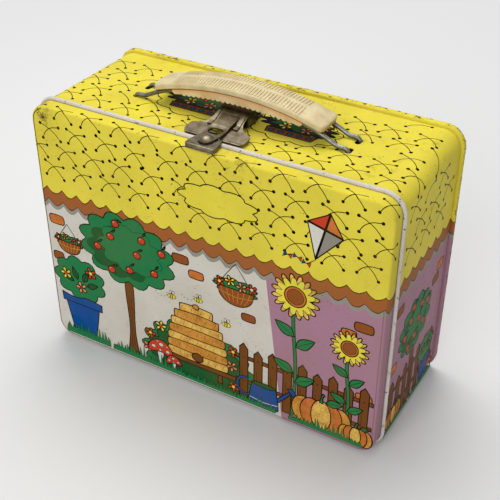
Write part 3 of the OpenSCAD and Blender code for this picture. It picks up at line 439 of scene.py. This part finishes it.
def apple_tree(sheet, at, trunk, wide, high, seed):
    """Round tree with fruit."""
    dice = random.Random(seed)
    edge = [(-4.6, 0), (4.2, 0.6), (2.4, trunk * 0.3), (2.8, trunk), (-2.6, trunk), (-2.0, trunk * 0.35)]
    patch(sheet, at, rounded(edge, sharp=(0, 1)), "timber_brown")
    for x in (-0.9, 0.9):
        grain = [(x, trunk * 0.12), (x * 0.6, trunk * 0.4), (x, trunk * 0.75)]
        stroke(sheet, at, grain, 0.3, level=1)
    middle = trunk + high * 0.72
    for k, (x, y, w, h, lobes, depth, ink, line) in enumerate((
            (0, 0, 1, 1, 12, 0.15, "leaf_green", KEY), (-0.1, -0.1, 0.74, 0.72, 9, 0.18, "deep_green", 0),
            (0.08, 0.06, 0.68, 0.66, 9, 0.18, "leaf_green", 0.25))):
        crown = scallops(x * wide, middle + y * high, w * wide, h * high, lobes, depth)
        patch(sheet, at, crown, ink, 2 + k, line)
    for k in range(9):
        turn = k * 2.4
        far = 0.22 + 0.58 * math.sqrt(k / 9)
        x, y = wide * far * math.cos(turn), middle + high * far * math.sin(turn)
        patch(sheet, at, oval(x, y, 2.9, 2.7, count=14), "poppy_red", 5)
        patch(sheet, at, oval(x - 0.9, y + 0.9, 0.7, 0.45, 35, 8), "blush", 6, line=0)
        stroke(sheet, at, [(x, y + 2.4), (x + 0.5, y + 3.4), (x + 1.5, y + 4.0)], 0.4, level=6)
        twig = at @ spot(x + 1.0, y + 3.2, 1.0, dice.uniform(-20, 60))
        leaf(sheet, twig, 4.2, 1.9, "leaf_green", 7)


def beehive(sheet, at, width, rows):
    """Straw hive of sewn coils on a low bench, drawn in two honey tones."""
    step = width * 0.135
    for x in (-0.36 * width, 0.36 * width):
        patch(sheet, at, [(x - 2, -9.5), (x + 2, -9.5), (x + 1.6, -3), (x - 1.6, -3)], "timber_brown")
    bench = scaled([(-0.62, -3.6), (0.62, -3.6), (0.62, 0.4), (-0.62, 0.4)], width, 1)
    patch(sheet, at, rounded(bench, sharp=(0, 1, 2, 3)), "timber_brown", 1)
    for k in range(rows):
        w = width / 2 * math.sqrt(1 - (k / rows) ** 2.2)
        y = k * step
        coil = [(-w, y + step * 0.5), (-w * 0.93, y + 0.1), (w * 0.93, y + 0.1), (w, y + step * 0.5),
                (w * 0.93, y + step * 1.08), (-w * 0.93, y + step * 1.08)]
        patch(sheet, at, rounded(coil), "honey_tan" if k % 2 else "pale_honey", 2 + k % 2)
        for turn in range(int(w / 2.6)):
            x = -w * 0.82 + turn * w * 1.64 / max(int(w / 2.6) - 1, 1)
            sewing = [(x - 0.5, y + step * 0.25), (x, y + step * 0.5), (x + 0.7, y + step * 0.85)]
            stroke(sheet, at, sewing, 0.26, "brick_brown", 4)
    patch(sheet, at, scallops(0, rows * step + 0.6, 2.6, 2.2, 3, 0.1), "honey_tan", 4)
    patch(sheet, at, oval(0, step * 0.62, width * 0.1, step * 0.62, count=14), "timber_brown", 5)


def bee(sheet, at):
    """Small bee with two wings and its looping path."""
    for turn in (60, 105):
        wing = oval(1.6 * math.cos(math.radians(turn)), 2.4, 1.0, 1.9, turn - 90, 12)
        patch(sheet, at, wing, "chalk_white", line=0.22)
    patch(sheet, at, oval(0, 0, 2.9, 1.8, count=16), "straw_yellow", 1, line=0.3)
    for x in (-1.1, 0.3):
        stroke(sheet, at, [(x, -1.5), (x + 0.25, 0), (x, 1.5)], 0.6, level=2)
    for k in range(6):
        a = math.radians(200 + 34 * k)
        dot = oval(-7 + 4 * math.cos(a), 1 + 3 * math.sin(a), 0.32, count=6)
        patch(sheet, at, dot, "key_black", line=0)


def fence(sheet, at, count, pitch, height, ink):
    """Picket fence: two rails behind pointed boards."""
    end = count * pitch - pitch * 0.35 + 2.5
    for y in (0.26 * height, 0.7 * height):
        patch(sheet, at, [(-2.5, y), (end, y), (end, y + 3.2), (-2.5, y + 3.2)], ink)
    for k in range(count):
        x, tall, w = k * pitch, height * (0.97 + 0.03 * (-1) ** k), pitch * 0.64
        board = [(x, 0), (x + w, 0), (x + w * 1.02, tall - 4), (x + w * 0.5, tall), (x, tall - 3.4)]
        patch(sheet, at, board, ink, 1)
        grain = [(x + w * 0.3, height * 0.2), (x + w * 0.36, height * 0.4), (x + w * 0.3, height * 0.55)]
        stroke(sheet, at, grain, 0.26, level=2)
        for y in (0.3, 0.74):
            nail = oval(x + w * 0.5, height * y, 0.5, count=6)
            patch(sheet, at, nail, "key_black", 2, line=0)


def sunflower(sheet, at, height, size):
    """Tall flower with a dark seed disc and paired leaves."""
    stem = scaled([(0, 0), (1.4, 0.4), (-0.8, 0.8), (0, 1)], 1, height)
    stem = rounded(stem, steps=6, closed=False)
    stroke(sheet, at, stem, 2.3, "key_black")
    stroke(sheet, at, stem, 1.5, "leaf_green", 1)
    for y, turn in ((0.3, 28), (0.38, 155), (0.6, 35), (0.68, 148)):
        leaf(sheet, at @ spot(0.6, height * y, 1.0, turn), size * 1.05, size * 0.52, level=2)
    patch(sheet, at, scallops(0, height, size * 1.04, size * 1.04, 16, 0.32, 0.7), "pale_honey", 4)
    patch(sheet, at, scallops(0, height, size * 0.86, size * 0.86, 13, 0.3, 0.7), "straw_yellow", 5, 0.3)
    patch(sheet, at, oval(0, height, size * 0.48), "brick_orange", 6)
    patch(sheet, at, oval(0, height, size * 0.36), "brick_brown", 7, line=0.3)


def pumpkin(sheet, at, width, height):
    """Ribbed pumpkin, its outer ribs behind the inner ones."""
    ribs = ((-0.36, 0.3, "honey_tan"), (0.36, 0.3, "honey_tan"), (-0.19, 0.31, "brick_orange"),
            (0.19, 0.31, "brick_orange"), (0.0, 0.28, "pale_honey"))
    for k, (x, w, ink) in enumerate(ribs):
        rib = oval(x * width, height * 0.5, w * width * 0.72, height * (0.46 + 0.02 * k), count=22)
        patch(sheet, at, rib, ink, k)
    stalk = ((-1.6, 0.93), (1.5, 0.93), (1.0, 1.1), (2.4, 1.24), (0.4, 1.28), (-0.9, 1.08))
    patch(sheet, at, rounded(scaled(stalk, 1, height), sharp=(0, 1, 3)), "leaf_green", 5)
    leaf(sheet, at @ spot(2.0, height, 1.0, 12), width * 0.36, width * 0.18, level=5)


def toadstool(sheet, at):
    """Spotted toadstool."""
    stalk = [(-3.4, 0), (3.4, 0), (2.0, 5), (2.4, 12), (-2.4, 12), (-2.0, 5)]
    patch(sheet, at, rounded(stalk, sharp=(0, 1)), "chalk_white")
    cap = [(-10, 10), (-9.2, 15), (-4.5, 20.4), (2, 21.4), (8, 17), (10, 11), (7, 10), (0, 11.4), (-7, 9.4)]
    patch(sheet, at, rounded(cap, sharp=(0, 5)), "poppy_red", 1)
    for x, y, r in ((-5.4, 14.2, 1.7), (0.2, 17.6, 1.9), (5.2, 13.8, 1.6), (-0.4, 13.0, 1.2),
                    (-2.6, 19.2, 0.9), (4.6, 17.6, 0.9)):
        patch(sheet, at, oval(x, y, r, r * 0.8, count=12), "chalk_white", 2, line=0.25)


def watering_can(sheet, at):
    """Blue enamelled can with a long spout."""
    handle = oval(-12, 11, 5.4, 6.2, count=16)[3:14]
    stroke(sheet, at, handle, 1.9, "key_black")
    stroke(sheet, at, handle, 1.1, "garden_blue", 1)
    patch(sheet, at, [(7, 4), (17.6, 17.2), (16, 18.8), (7, 9)], "garden_blue")
    rose = [(14.4, 20.4), (18.8, 15.2), (20.4, 18.4), (17.8, 21.4)]
    patch(sheet, at, rounded(rose, sharp=(0, 1)), "garden_blue", 1)
    can = [(-9.6, 0), (8.8, 0), (9.6, 4), (8, 16), (-8, 16), (-10, 4)]
    patch(sheet, at, rounded(can, sharp=(3, 4)), "garden_blue", 2)
    patch(sheet, at, oval(0, 16, 8.2, 1.9, count=18), "deep_green", 3)
    stroke(sheet, at, [(-9.3, 4.4), (0, 3.2), (9, 4.4)], 0.5, "chalk_white", 3)


def hanging_basket(sheet, at):
    """Wicker basket of flowers hung under the eaves."""
    for x in (-10, 10):
        stroke(sheet, at, [(0, 16), (x * 0.5, 9), (x, 1)], 0.45)
    patch(sheet, at, scallops(0, 1, 14, 6.2, 9, 0.2), "leaf_green", 1)
    bowl = [(-11.5, 0.5), (-9, -6.5), (-3.5, -10), (3.5, -10), (9, -6.5), (11.5, 0.5)]
    patch(sheet, at, rounded(bowl, sharp=(0, 5)), "brick_brown", 2)
    for k in range(6):
        x = -8.6 + 3.4 * k
        stroke(sheet, at, [(x, -0.4), (x * 0.9, -4), (x * 0.62, -8.2)], 0.34, "honey_tan", 3)
    stroke(sheet, at, [(-10.4, -3), (0, -4.6), (10.4, -3)], 0.4, "honey_tan", 4)
    for x, y, hues in ((-9.5, 2.4, POPPY), (-3.2, 4.6, DAISY), (3.6, 2.6, ROSE),
                       (9.6, 3.6, ("poppy_red", "chalk_white"))):
        bloom(sheet, at @ spot(x, y), *hues, 3.6, 4)


def kite(sheet, at):
    """Paper kite in four colours with a bowed tail."""
    top, left, right, bottom = (0, 15), (-11, 4), (11, 4), (0, -17)
    for pair, ink in (((top, left), "poppy_red"), ((right, top), "brick_orange"),
                      ((left, bottom), "chalk_white"), ((bottom, right), "stone_grey")):
        patch(sheet, at, [(0, 4), *pair], ink)
    tail = rounded([bottom, (-5, -22), (-12, -20.5), (-18, -25)], steps=6, closed=False)
    stroke(sheet, at, tail, 0.45)
    for x, y in tail[5:16:5]:
        patch(sheet, at, [(x, y), (x - 2.6, y + 1.9), (x - 2.6, y - 1.9)], "garden_blue", 1, line=0.3)
        patch(sheet, at, [(x, y), (x + 2.6, y - 1.9), (x + 2.6, y + 1.9)], "poppy_red", 2, line=0.3)


def cloud(sheet, at, width, height):
    """Cloud drawn in outline on the yellow sky."""
    patch(sheet, at, scallops(0, 0, width / 2, height / 2, 9, 0.15), "straw_yellow")


def over_fold(u, v, t):
    """From the flat sheet to the pressed lid: out over the fold of the face and back along the skirt."""
    core = Vector((max(min(u, HALF_W - CORNER), CORNER - HALF_W),
                   max(min(v, MID_Z + HALF_H - CORNER), MID_Z - HALF_H + CORNER)))
    away = Vector((u, v)) - core
    out = away.length - (CORNER - FOLD)
    if out <= 0:
        return u, FACE_Y - t, v
    bend = min(out / FOLD, math.pi / 2)
    t += 0.05 * math.sin(2 * bend)     # clear of the fold's facets
    edge = core + away.normalized() * (CORNER - FOLD + (FOLD + t) * math.sin(bend))
    return edge.x, FACE_Y + FOLD - (FOLD + t) * math.cos(bend) + max(out - FOLD * math.pi / 2, 0.0), edge.y


def clear_of_fold(u, v):
    """True where a knot lies flat: on the face, or on the skirt between fold and bead."""
    out = max(abs(u) - HALF_W, v - MID_Z - HALF_H) + FOLD
    return out < -1.0 or out > 3.5


# what lies on the lid, from the sky down to the grass in front
lid_face = bmesh.new()
quilting(lid_face, ((-114.0, 114.0), (113.0, 166.6)), 3, flat=clear_of_fold)
cloud(lid_face, spot(12, 133, 1.0, 0, 2), 50, 20)
kite(lid_face, spot(72, 133, 0.95, -14, 2))
for x, z, w, h, ink in ((-99, 88, 11, 6.5, "brick_orange"), (-13, 90, 11, 6, "brick_brown"),
                        (-3, 82.5, 10, 5.6, "brick_orange"), (-101, 62, 8, 6, "brick_brown"),
                        (-22, 24, 9, 6, "brick_brown"), (97, 86, 11, 6, "brick_brown"),
                        (89, 79.5, 9, 5.6, "brick_orange"), (30, 66, 9, 5.4, "brick_brown"),
                        (100, 40, 10, 6, "brick_orange")):
    stone(lid_face, spot(x, z), w, h, ink)
fence(lid_face, spot(24, 8, 1, 0, 1), 9, 9.2, 40, "timber_brown")
apple_tree(lid_face, spot(-50, 7, 1, 0, 3), 57, 34, 25, 5)
for wide, high, lobes, ink, level in ((40, 28, 17, "leaf_green", 0.3), (35, 22, 14, "deep_green", 0.6)):
    hedge = [(x, max(y, -14)) for x, y in scallops(0, 0, wide, high, lobes, 0.13)]
    patch(lid_face, spot(-4, 20, 1, 0, level), hedge, ink)
for x, z, hues in ((-37, 29, POPPY), (-29, 37, DAISY), (20, 38, POPPY), (19, 27, ROSE), (-39, 18, ROSE),
                   (20, 12, POPPY)):
    bloom(lid_face, spot(x, z, 1, x, 0.8), *hues, 4.2)
beehive(lid_face, spot(-4, 20, 1, 0, 3), 42, 7)
hanging_basket(lid_face, spot(22, 82, 1.05, 0, 3))
hanging_basket(lid_face, spot(-92, 74, 0.8, 0, 3))
sunflower(lid_face, spot(58, 8, 1, 0, 5), 83, 14)
sunflower(lid_face, spot(90, 8, 1, 0, 5), 62, 11)
POT_BLOOMS = ((-0.34, 0.52, DAISY), (0.3, 0.72, POPPY), (0.02, 0.28, ROSE))
flower_pot(lid_face, spot(-87, 9, 1, 0, 4), 30, 26, POT_BLOOMS)
toadstool(lid_face, spot(-31, 6, 0.95, -4, 9))
toadstool(lid_face, spot(-20, 5, 0.6, 8, 10))
pumpkin(lid_face, spot(76, 6, 1, 0, 13), 32, 21)
pumpkin(lid_face, spot(97, 5, 1, 0, 19), 18, 13)
watering_can(lid_face, spot(40, 6, 1.0, 0, 13))
for x, z in ((-20, 62), (16, 56), (-2, 66)):
    bee(lid_face, spot(x, z, 1, 0, 12))
for x, length, tall, seed in ((-102, 34, 14, 2), (-66, 54, 12, 3), (-16, 46, 8, 4), (22, 26, 9, 5),
                              (56, 46, 10, 6)):
    grass(lid_face, spot(x, 4.6, 1, 0, 24 + 2 * (seed % 2)), length, tall, seed)
lay(lid_face, "print_lid_front", over_fold, "lid")


def around_walls(s, depth, t):
    """From the band's flat strip, measured from the middle of the top, to the bent wall."""
    flat, run = HALF_W - CORNER, abs(s)
    bend = min(max((run - flat) / CORNER, 0.0), math.pi / 2)
    x = min(run, flat) + (CORNER + t) * math.sin(bend)
    z = TOP_Z - CORNER + (CORNER + t) * math.cos(bend) - max(run - flat - CORNER * math.pi / 2, 0.0)
    return math.copysign(x, s), depth, z


FITTINGS_X = 1.6                        # latch and handle stand this far right of the middle
SLOT_X, SLOTS_Y = 64.4, (-6.2, 5.2)     # the wires' slots: out to each side of there, and in depth


def off_slots(u, v):
    """True where the strip isn't pierced for the handle's wires."""
    return all(math.hypot(abs(u - FITTINGS_X) - SLOT_X, v - y) > 5.0 for y in SLOTS_Y)


band_top = bmesh.new()
quilting(band_top, ((-113, 113), (-31.0, 39.0)), 11, keep=off_slots)
for x, petals in ((-27, "poppy_red"), (32, "brick_orange")):
    cloud(band_top, spot(x, 1, 1, 0, 2), 54, 33)
    # a black field behind each box's flowers: partly dark print, partly painted shade for the handle's shadow
    # on the top
    patch(band_top, spot(x, 4, 1, 0, 3), scallops(0, 1, 23, 10.5, 13, 0.2), "key_black")
    patch(band_top, spot(x, 4, 1, 0, 3.5), scallops(0, 2, 18, 8, 11, 0.2), "deep_green")
    for k, ink in enumerate((petals, "straw_yellow", petals, "blush", petals)):
        at = spot(x - 12.4 + 6.2 * k, 5.5 + 3.4 * (-1) ** k, 1, 20 * k, 4 + k % 2)
        bloom(band_top, at, ink, "timber_brown", 4.2)
    trough = [(-15, 3.6), (-13.4, -2.4), (13.4, -2.4), (15, 3.6)]
    patch(band_top, spot(x, -6, 1, 0, 7), trough, "timber_brown")
    for k in range(5):
        at = spot(x - 10.8 + 5.4 * k, -5.4, 1, 0, 8)
        patch(band_top, at, oval(0, 0, 1.9, 1.5, count=14), "garden_blue")
lay(band_top, "print_band_top", around_walls, "body")

for side, name in ((1, "right"), (-1, "left")):
    wall = bmesh.new()
    c = 4 * side     # the middle of the wall's clear part
    quilting(wall, ((c - 35, c + 35), (111.0, 150.5)), 17 + side)
    for u, z, ink in ((-28, 88, "brick_brown"), (28, 84, "brick_orange"), (23, 77, "brick_brown"),
                      (-30, 50, "brick_orange")):
        stone(wall, spot(c + u, z), 9.5, 6, ink)
    fence(wall, spot(c - 32, 7, 1, 0, 1), 7, 9.4, 34, "timber_brown")
    apple_tree(wall, spot(c - 3, 6, 1, 0, 3), 44, 23, 19, 23 + side)
    flower_pot(wall, spot(c + 20, 8, 1, 0, 12), 18, 14, ((-0.3, 0.5, DAISY), (0.3, 0.6, POPPY)))
    pumpkin(wall, spot(c - 23, 6, 1, 0, 12), 19, 13)
    toadstool(wall, spot(c + 30, 5, 0.5, 5, 18))
    grass(wall, spot(c - 35, 4.4, 1, 0, 20), 34, 8, 31 + side)
    grass(wall, spot(c + 1, 4.4, 1, 0, 20), 34, 9, 34 + side)
    lay(wall, "print_band_" + name, lambda u, v, t: (side * (HALF_W + t), side * u, v), "body")

rear = bmesh.new()
quilting(rear, ((-103.0, 103.0), (110.5, 155.5)), 29)
cloud(rear, spot(-62, 134, 1, 0, 2), 48, 19)
kite(rear, spot(10, 136, 0.85, 18, 2))
fence(rear, spot(-100, 9, 1, 0, 1), 22, 9.2, 36, "timber_brown")
for x, z, ink in ((-90, 86, "brick_orange"), (-30, 88, "brick_brown"), (-22, 80, "brick_orange"),
                  (92, 72, "brick_brown"), (20, 70, "brick_brown")):
    stone(rear, spot(x, z), 11, 6.2, ink)
apple_tree(rear, spot(52, 8, 1, 0, 3), 60, 31, 24, 41)
sunflower(rear, spot(-62, 9, 1, 0, 4), 78, 14)
sunflower(rear, spot(-36, 9, 1, 0, 4), 60, 11)
flower_pot(rear, spot(4, 9, 1, 0, 5), 28, 21, POT_BLOOMS)
pumpkin(rear, spot(-86, 8, 1, 0, 6), 28, 19)
toadstool(rear, spot(86, 8, 1.1, 4, 6))
watering_can(rear, spot(24, 8, 0.9, 0, 12))
for x, length, tall, seed in ((-100, 40, 12, 51), (-56, 46, 9, 52), (-6, 40, 8, 53), (38, 60, 12, 54)):
    grass(rear, spot(x, 6.2, 1, 0, 20), length, tall, seed)
lay(rear, "print_back", lambda u, v, t: (-u, BACK_Y + t, v), "body")

# ---------------------------------------------------------------- hinges
# Two stamped steel hinges under the box, each leaf riveted through the sheet, zinc plated and
# dulled to a grey bloom. The rivets, pins, and the small brackets inside are of the same steel.


def plated_steel(name, fresh, tarnish, crust_and_shade, rough, grain):
    """Plated steel: clouded unevenly, rubbed along one way, pitted with dark dirt, and darkened in its
    recesses with painted shade.
    """
    material, tree, shader, at = new_finish(name)
    dulled = add(tree, "TexNoise", at, Scale=0.22, Detail=6.0, Roughness=0.7)
    dulled = add(tree, "MapRange", dulled, 0.36, 0.66)
    metal = add(tree, "Mix", dulled, _6=fresh, _7=tarnish, data_type="RGBA", out=2)
    # painted shade: hollows and the feet of bends are darkened by ambient occlusion, within about 1.5 mm of
    # their corners
    painted_shade_in_hollows = add(tree, "AmbientOcclusion", out=1, Distance=0.0018, samples=8)
    painted_shade_in_hollows = add(tree, "MapRange", painted_shade_in_hollows, 0.85, 0.35, 0.0, 0.9)
    pits = add(tree, "TexNoise", at, Scale=1.6, Detail=3.0, Roughness=0.6)
    pits = add(tree, "MapRange", pits, 0.62, 0.72, 0.0, 0.7)
    # the crust colour goes on the pits, which are real dirt, and on the hollows as painted shade
    dirt = add(tree, "Math", painted_shade_in_hollows, pits, operation="MAXIMUM")
    metal = add(tree, "Mix", dirt, _6=metal, _7=crust_and_shade, data_type="RGBA", out=2)
    tree.links.new(metal, shader.inputs["Base Color"])
    # rubbing marks some millimetres long and a tenth wide, drawn coarser than the real ones
    rubbing = add(tree, "VectorMath", at, grain, operation="MULTIPLY")
    rubbing = add(tree, "TexNoise", rubbing, Scale=1.0, Detail=4.0, Roughness=0.7)
    gloss = add(tree, "MapRange", rubbing, 0.3, 0.7, rough - 0.1, rough + 0.1)
    gloss = add(tree, "Math", pits, 0.25, gloss, operation="MULTIPLY_ADD")
    tree.links.new(gloss, shader.inputs["Roughness"])
    relief = add(tree, "Math", rubbing, pits, operation="SUBTRACT")
    tree.links.new(add(tree, "Bump", 0.2, 0.0001, Height=relief), shader.inputs["Normal"])
    shader.inputs["Metallic"].default_value = 1.0
    return material


coat(plated_steel("zinc_plated_steel", "9C9A91", "78756A", "5A5348", 0.42, (2.5, 0.4, 2.5)),
     "hinge_body_leaf_left", "hinge_body_leaf_right", "hinge_lid_leaf_left", "hinge_lid_leaf_right",
     "hinge_pin_left", "hinge_pin_right", "hinge_body_rivets", "hinge_lid_rivets",
     "bottle_clip_bracket_upper", "bottle_clip_bracket_lower", "bottle_clip_rivets")

# ---------------------------------------------------------------- latch and catch
# A base plate riveted to the top carries the lever on a pin, and the lever's window snaps over the
# hook of the catch on the lid. All pressed from steel, nickel plated and tarnished to olive brown.

coat(plated_steel("tarnished_nickel_plate", "7C725F", "4E4536", "201A12", 0.36, (3.0, 0.35, 3.0)),
     "latch_lever", "latch_base", "lid_catch")
coat(plated_steel("steel_pin_and_spring", "949186", "6C675B", "3C3428", 0.38, (2.0, 2.0, 2.0)),
     "latch_pin", "latch_spring", "latch_base_rivets")

# ---------------------------------------------------------------- wires
# Bright drawn steel wire, gone grey: the two that carry the handle through the slots in the top,
# and the bent one inside that holds a flask.

coat(plated_steel("drawn_steel_wire", "84847B", "64635A", "403A31", 0.42, (0.35, 3.0, 3.0)),
     "handle_wire_front", "handle_wire_rear", "bottle_clip_wire")

# ---------------------------------------------------------------- lower grip
# The lower half of the handle, moulded in cream polythene with finger ribs. It clips into the top
# half over the wires, and the joint between them has gone brown with years of handling.

ARCH_R, UNDER_R = 162.0, 157.4     # radii of the arch's crown, and of the joint of the two halves
ARCH_Z = TOP_Z + 20.0 - ARCH_R     # height of the arch's centre, with its crown 20 over the top


def aged_polythene(name, cream, grime):
    """Cream polythene: yellowed in clouds, with painted warm shade just under the joint, and brown dirt along
    the joint and in fine scuffs.
    """
    material, tree, shader, at = new_finish(name)
    x, _, z = add(tree, "SeparateXYZ", at, out=None).outputs
    yellowed = add(tree, "TexNoise", at, Scale=0.1, Detail=5.0, Roughness=0.62)
    share = add(tree, "MapRange", yellowed, 0.36, 0.7)
    resin = add(tree, "Mix", share, _6=cream, _7=grime, data_type="RGBA", out=2)
    # height over the joint, measured out from the centre of the arch
    spoke = add(tree, "CombineXYZ", add(tree, "Math", x, FITTINGS_X, operation="SUBTRACT"), 0.0,
                add(tree, "Math", z, ARCH_Z, operation="SUBTRACT"))
    over = add(tree, "VectorMath", spoke, operation="LENGTH", out=1)
    over = add(tree, "Math", over, UNDER_R, operation="SUBTRACT")
    # painted shade: a warm peach band, fading out 2.6 mm below the joint, for the shading of the lower half's
    # recessed neck
    under = add(tree, "MapRange", over, -0.3, -2.6, 0.9, 0.0)
    lower = add(tree, "Math", over, -0.02, operation="LESS_THAN")
    under = add(tree, "Math", under, lower, operation="MULTIPLY")
    resin = add(tree, "Mix", under, _6=resin, _7="DB9C62", data_type="RGBA", out=2)
    seam = add(tree, "MapRange", add(tree, "Math", over, operation="ABSOLUTE"), 0.25, 0.6, 0.95, 0.0)
    resin = add(tree, "Mix", seam, _6=resin, _7="6A4420", data_type="RGBA", out=2)
    # fine scuffs across the arch that have taken up dirt
    scuff = add(tree, "VectorMath", at, (1.2, 0.12, 0.3), operation="MULTIPLY")
    scuff = add(tree, "TexNoise", scuff, Scale=1.0, Detail=3.0)
    scuff = add(tree, "MapRange", scuff, 0.6, 0.75, 0.0, 0.5)
    resin = add(tree, "Mix", scuff, _6=resin, _7="B99A62", data_type="RGBA", out=2)
    tree.links.new(resin, shader.inputs["Base Color"])
    tree.links.new(add(tree, "MapRange", yellowed, 0.3, 0.7, 0.42, 0.58), shader.inputs["Roughness"])
    pebble = add(tree, "TexNoise", at, Scale=1.8, Detail=2.0)
    tree.links.new(add(tree, "Bump", 0.15, 0.0001, Height=pebble), shader.inputs["Normal"])
    shader.inputs["Specular IOR Level"].default_value = 0.35
    shader.inputs["Subsurface Weight"].default_value = 0.1
    shader.inputs["Subsurface Radius"].default_value = (0.002, 0.0014, 0.0008)
    return material


coat(aged_polythene("aged_cream_polythene_lower", "DCC89A", "C6A873"), "handle_lower_grip")

# ---------------------------------------------------------------- top grip
# The upper half of the handle, moulded in the same polythene: a domed strap with two rows of short
# cross ribs and a smooth band between them. It is modelled again here, over the plainer solid.

GRIP_L, GRIP_W = 105.6, 18.4
GRIP_Y = -0.5                            # the grip's middle, front to back
GRIP_END = 2.4                           # how far in from each end the plan's corners round off
RIB, RIB_RISE, RIB_SLOPE = 0.93, 0.42, 0.14    # a rib's width and the gap beside it, height, flank
RIBBED = 78.0                            # length of the ribbed stretch
RIB_ROWS = ((-8.2, -1.2), (1.6, 8.2))    # from where to where across the strap
DOME = 2.9                               # faces this high over the joint are the dome's

strap = bmesh.new()
# outline of the section, from the joint up over the dome; the rows of ribs end at its corners
section = ((-9.2, 0.0), (-9.2, 1.9), (-9.05, 2.5), (-8.7, 2.95), (-8.2, 3.25), (-6.2, 3.62),
           (-4.0, 3.9), (-1.2, 4.1), (0.2, 4.15), (1.6, 4.12), (4.0, 4.0), (6.2, 3.8),
           (8.2, 3.4), (8.7, 3.05), (9.05, 2.5), (9.2, 1.9), (9.2, 0.0))
steps = round(GRIP_L / RIB / 2) * 2
rings = []
for k in range(steps + 1):
    turn = Matrix.Rotation(GRIP_L / ARCH_R * (k / steps - 0.5), 3, "Y")
    rings.append([strap.verts.new(turn @ Vector((0.0, y, UNDER_R + z))) for y, z in section])
for ring, following in zip(rings, rings[1:]):
    for j in range(len(section)):
        strap.faces.new((ring[j - 1], ring[j], following[j], following[j - 1]))
for end in (rings[0], rings[-1]):
    strap.faces.new(end)
bmesh.ops.recalc_face_normals(strap, faces=strap.faces)
# the ends round off in plan, and thin a little towards the tip
for vert in strap.verts:
    tip = GRIP_L / 2 - abs(math.atan2(vert.co.x, vert.co.z)) * ARCH_R
    if tip < GRIP_END:
        round_off = math.sqrt(max(1 - (1 - tip / GRIP_END) ** 2, 0.0))
        vert.co.y *= 1 - GRIP_END * (1 - round_off) / (GRIP_W / 2)
        over = math.hypot(vert.co.x, vert.co.z) - UNDER_R
        shrink = (UNDER_R + over * (0.9 + 0.1 * round_off)) / (UNDER_R + over)
        vert.co.x, vert.co.z = vert.co.x * shrink, vert.co.z * shrink
strap.faces.ensure_lookup_table()
ribs = []
for face in strap.faces:
    middle = face.calc_center_median()
    along = math.atan2(middle.x, middle.z) * ARCH_R
    over = math.hypot(middle.x, middle.z) - UNDER_R
    row = any(low < middle.y < high for low, high in RIB_ROWS) and over > DOME
    if row and abs(along) < RIBBED / 2 and math.floor(along / (GRIP_L / steps)) % 2 == 0:
        ribs.append(face)
bmesh.ops.inset_region(strap, faces=ribs, thickness=RIB_SLOPE, depth=RIB_RISE, use_boundary=True,
                       use_even_offset=True)
bmesh.ops.translate(strap, verts=strap.verts, vec=(FITTINGS_X, GRIP_Y, ARCH_Z))
bmesh.ops.scale(strap, verts=strap.verts, vec=(mm, mm, mm))
top_grip = put(strap, "ribbed_top_grip", aged_polythene("aged_cream_polythene_top", "D3C497", "B9A67C"))
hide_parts("handle_top_grip")
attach(top_grip, "handle")

# ---------------------------------------------------------------- studio
# A pale floor, one large soft lamp above and behind, a soft fill in front, and a pale room.

scene = bpy.context.scene
scene.view_settings.view_transform = "Standard"
camera = bpy.data.cameras.new("camera")
camera.lens = 70.11
camera.sensor_width = 36.0
camera.shift_x = 0.0073
camera.shift_y = 0.0176
camera.clip_start, camera.clip_end = 0.01, 20.0
eye = bpy.data.objects.new("camera", camera)
right, up, back = (0.86222, 0.50653, -0.00212), (-0.28689, 0.49180, 0.82209), (0.41745, -0.70821, 0.56935)
turn = Matrix((right, up, back)).transposed().to_4x4()
eye.matrix_world = Matrix.Translation(Vector((239.07, -400.62, 391.43)) * mm) @ turn
scene.collection.objects.link(eye)
scene.camera = eye


def sights(tree):
    """1 for what the eye sees, straight, mirrored or through glass, and 0 for the light that falls."""
    rays = add(tree, "LightPath", out=None).outputs
    shown = add(tree, "Math", rays["Is Camera Ray"], rays["Is Transmission Ray"], operation="MAXIMUM")
    return add(tree, "Math", shown, rays["Is Glossy Ray"], operation="MAXIMUM")


paper = bpy.data.materials.new("pale_paper_sweep")
paper.use_nodes = True
tree = paper.node_tree
tree.nodes.clear()
# far from the box the paper melts into the pale room, for the eye only
away = add(tree, "VectorMath", add(tree, "TexCoord", out="Object"), operation="LENGTH", out=1)
away = add(tree, "MapRange", away, 0.35, 1.0)
away = add(tree, "Math", sights(tree), away, operation="MULTIPLY")
near, far = add(tree, "BsdfDiffuse", "DDDDDD"), add(tree, "Emission", "ECECEC", 1.0)
add(tree, "OutputMaterial", add(tree, "MixShader", away, near, far))
slab = bmesh.new()
bmesh.ops.create_grid(slab, x_segments=8, y_segments=8, size=3.0)
floor = put(slab, "floor", paper)

world = bpy.data.worlds.new("studio")
scene.world = world
world.use_nodes = True
tree = world.node_tree
tree.nodes.clear()
room, seen = add(tree, "Background", "F2F2F2", 0.5), add(tree, "Background", "ECECEC", 1.0)
add(tree, "OutputWorld", add(tree, "MixShader", sights(tree), room, seen))

for name, place, aim, size, watts in (
        ("key", (-0.2, 0.3, 1.1), (0.0, -0.02, 0.1), 0.7, 8.4),
        ("fill", (0.15, -2.2, 1.3), (0.0, 0.0, 0.09), 1.6, 30.0)):
    lamp = bpy.data.lights.new(name, "AREA")
    lamp.shape = "SQUARE"
    lamp.size = size
    lamp.energy = watts
    holder = bpy.data.objects.new(name, lamp)
    holder.location = place
    holder.rotation_euler = (Vector(aim) - Vector(place)).to_track_quat("-Z", "Y").to_euler()
    scene.collection.objects.link(holder)
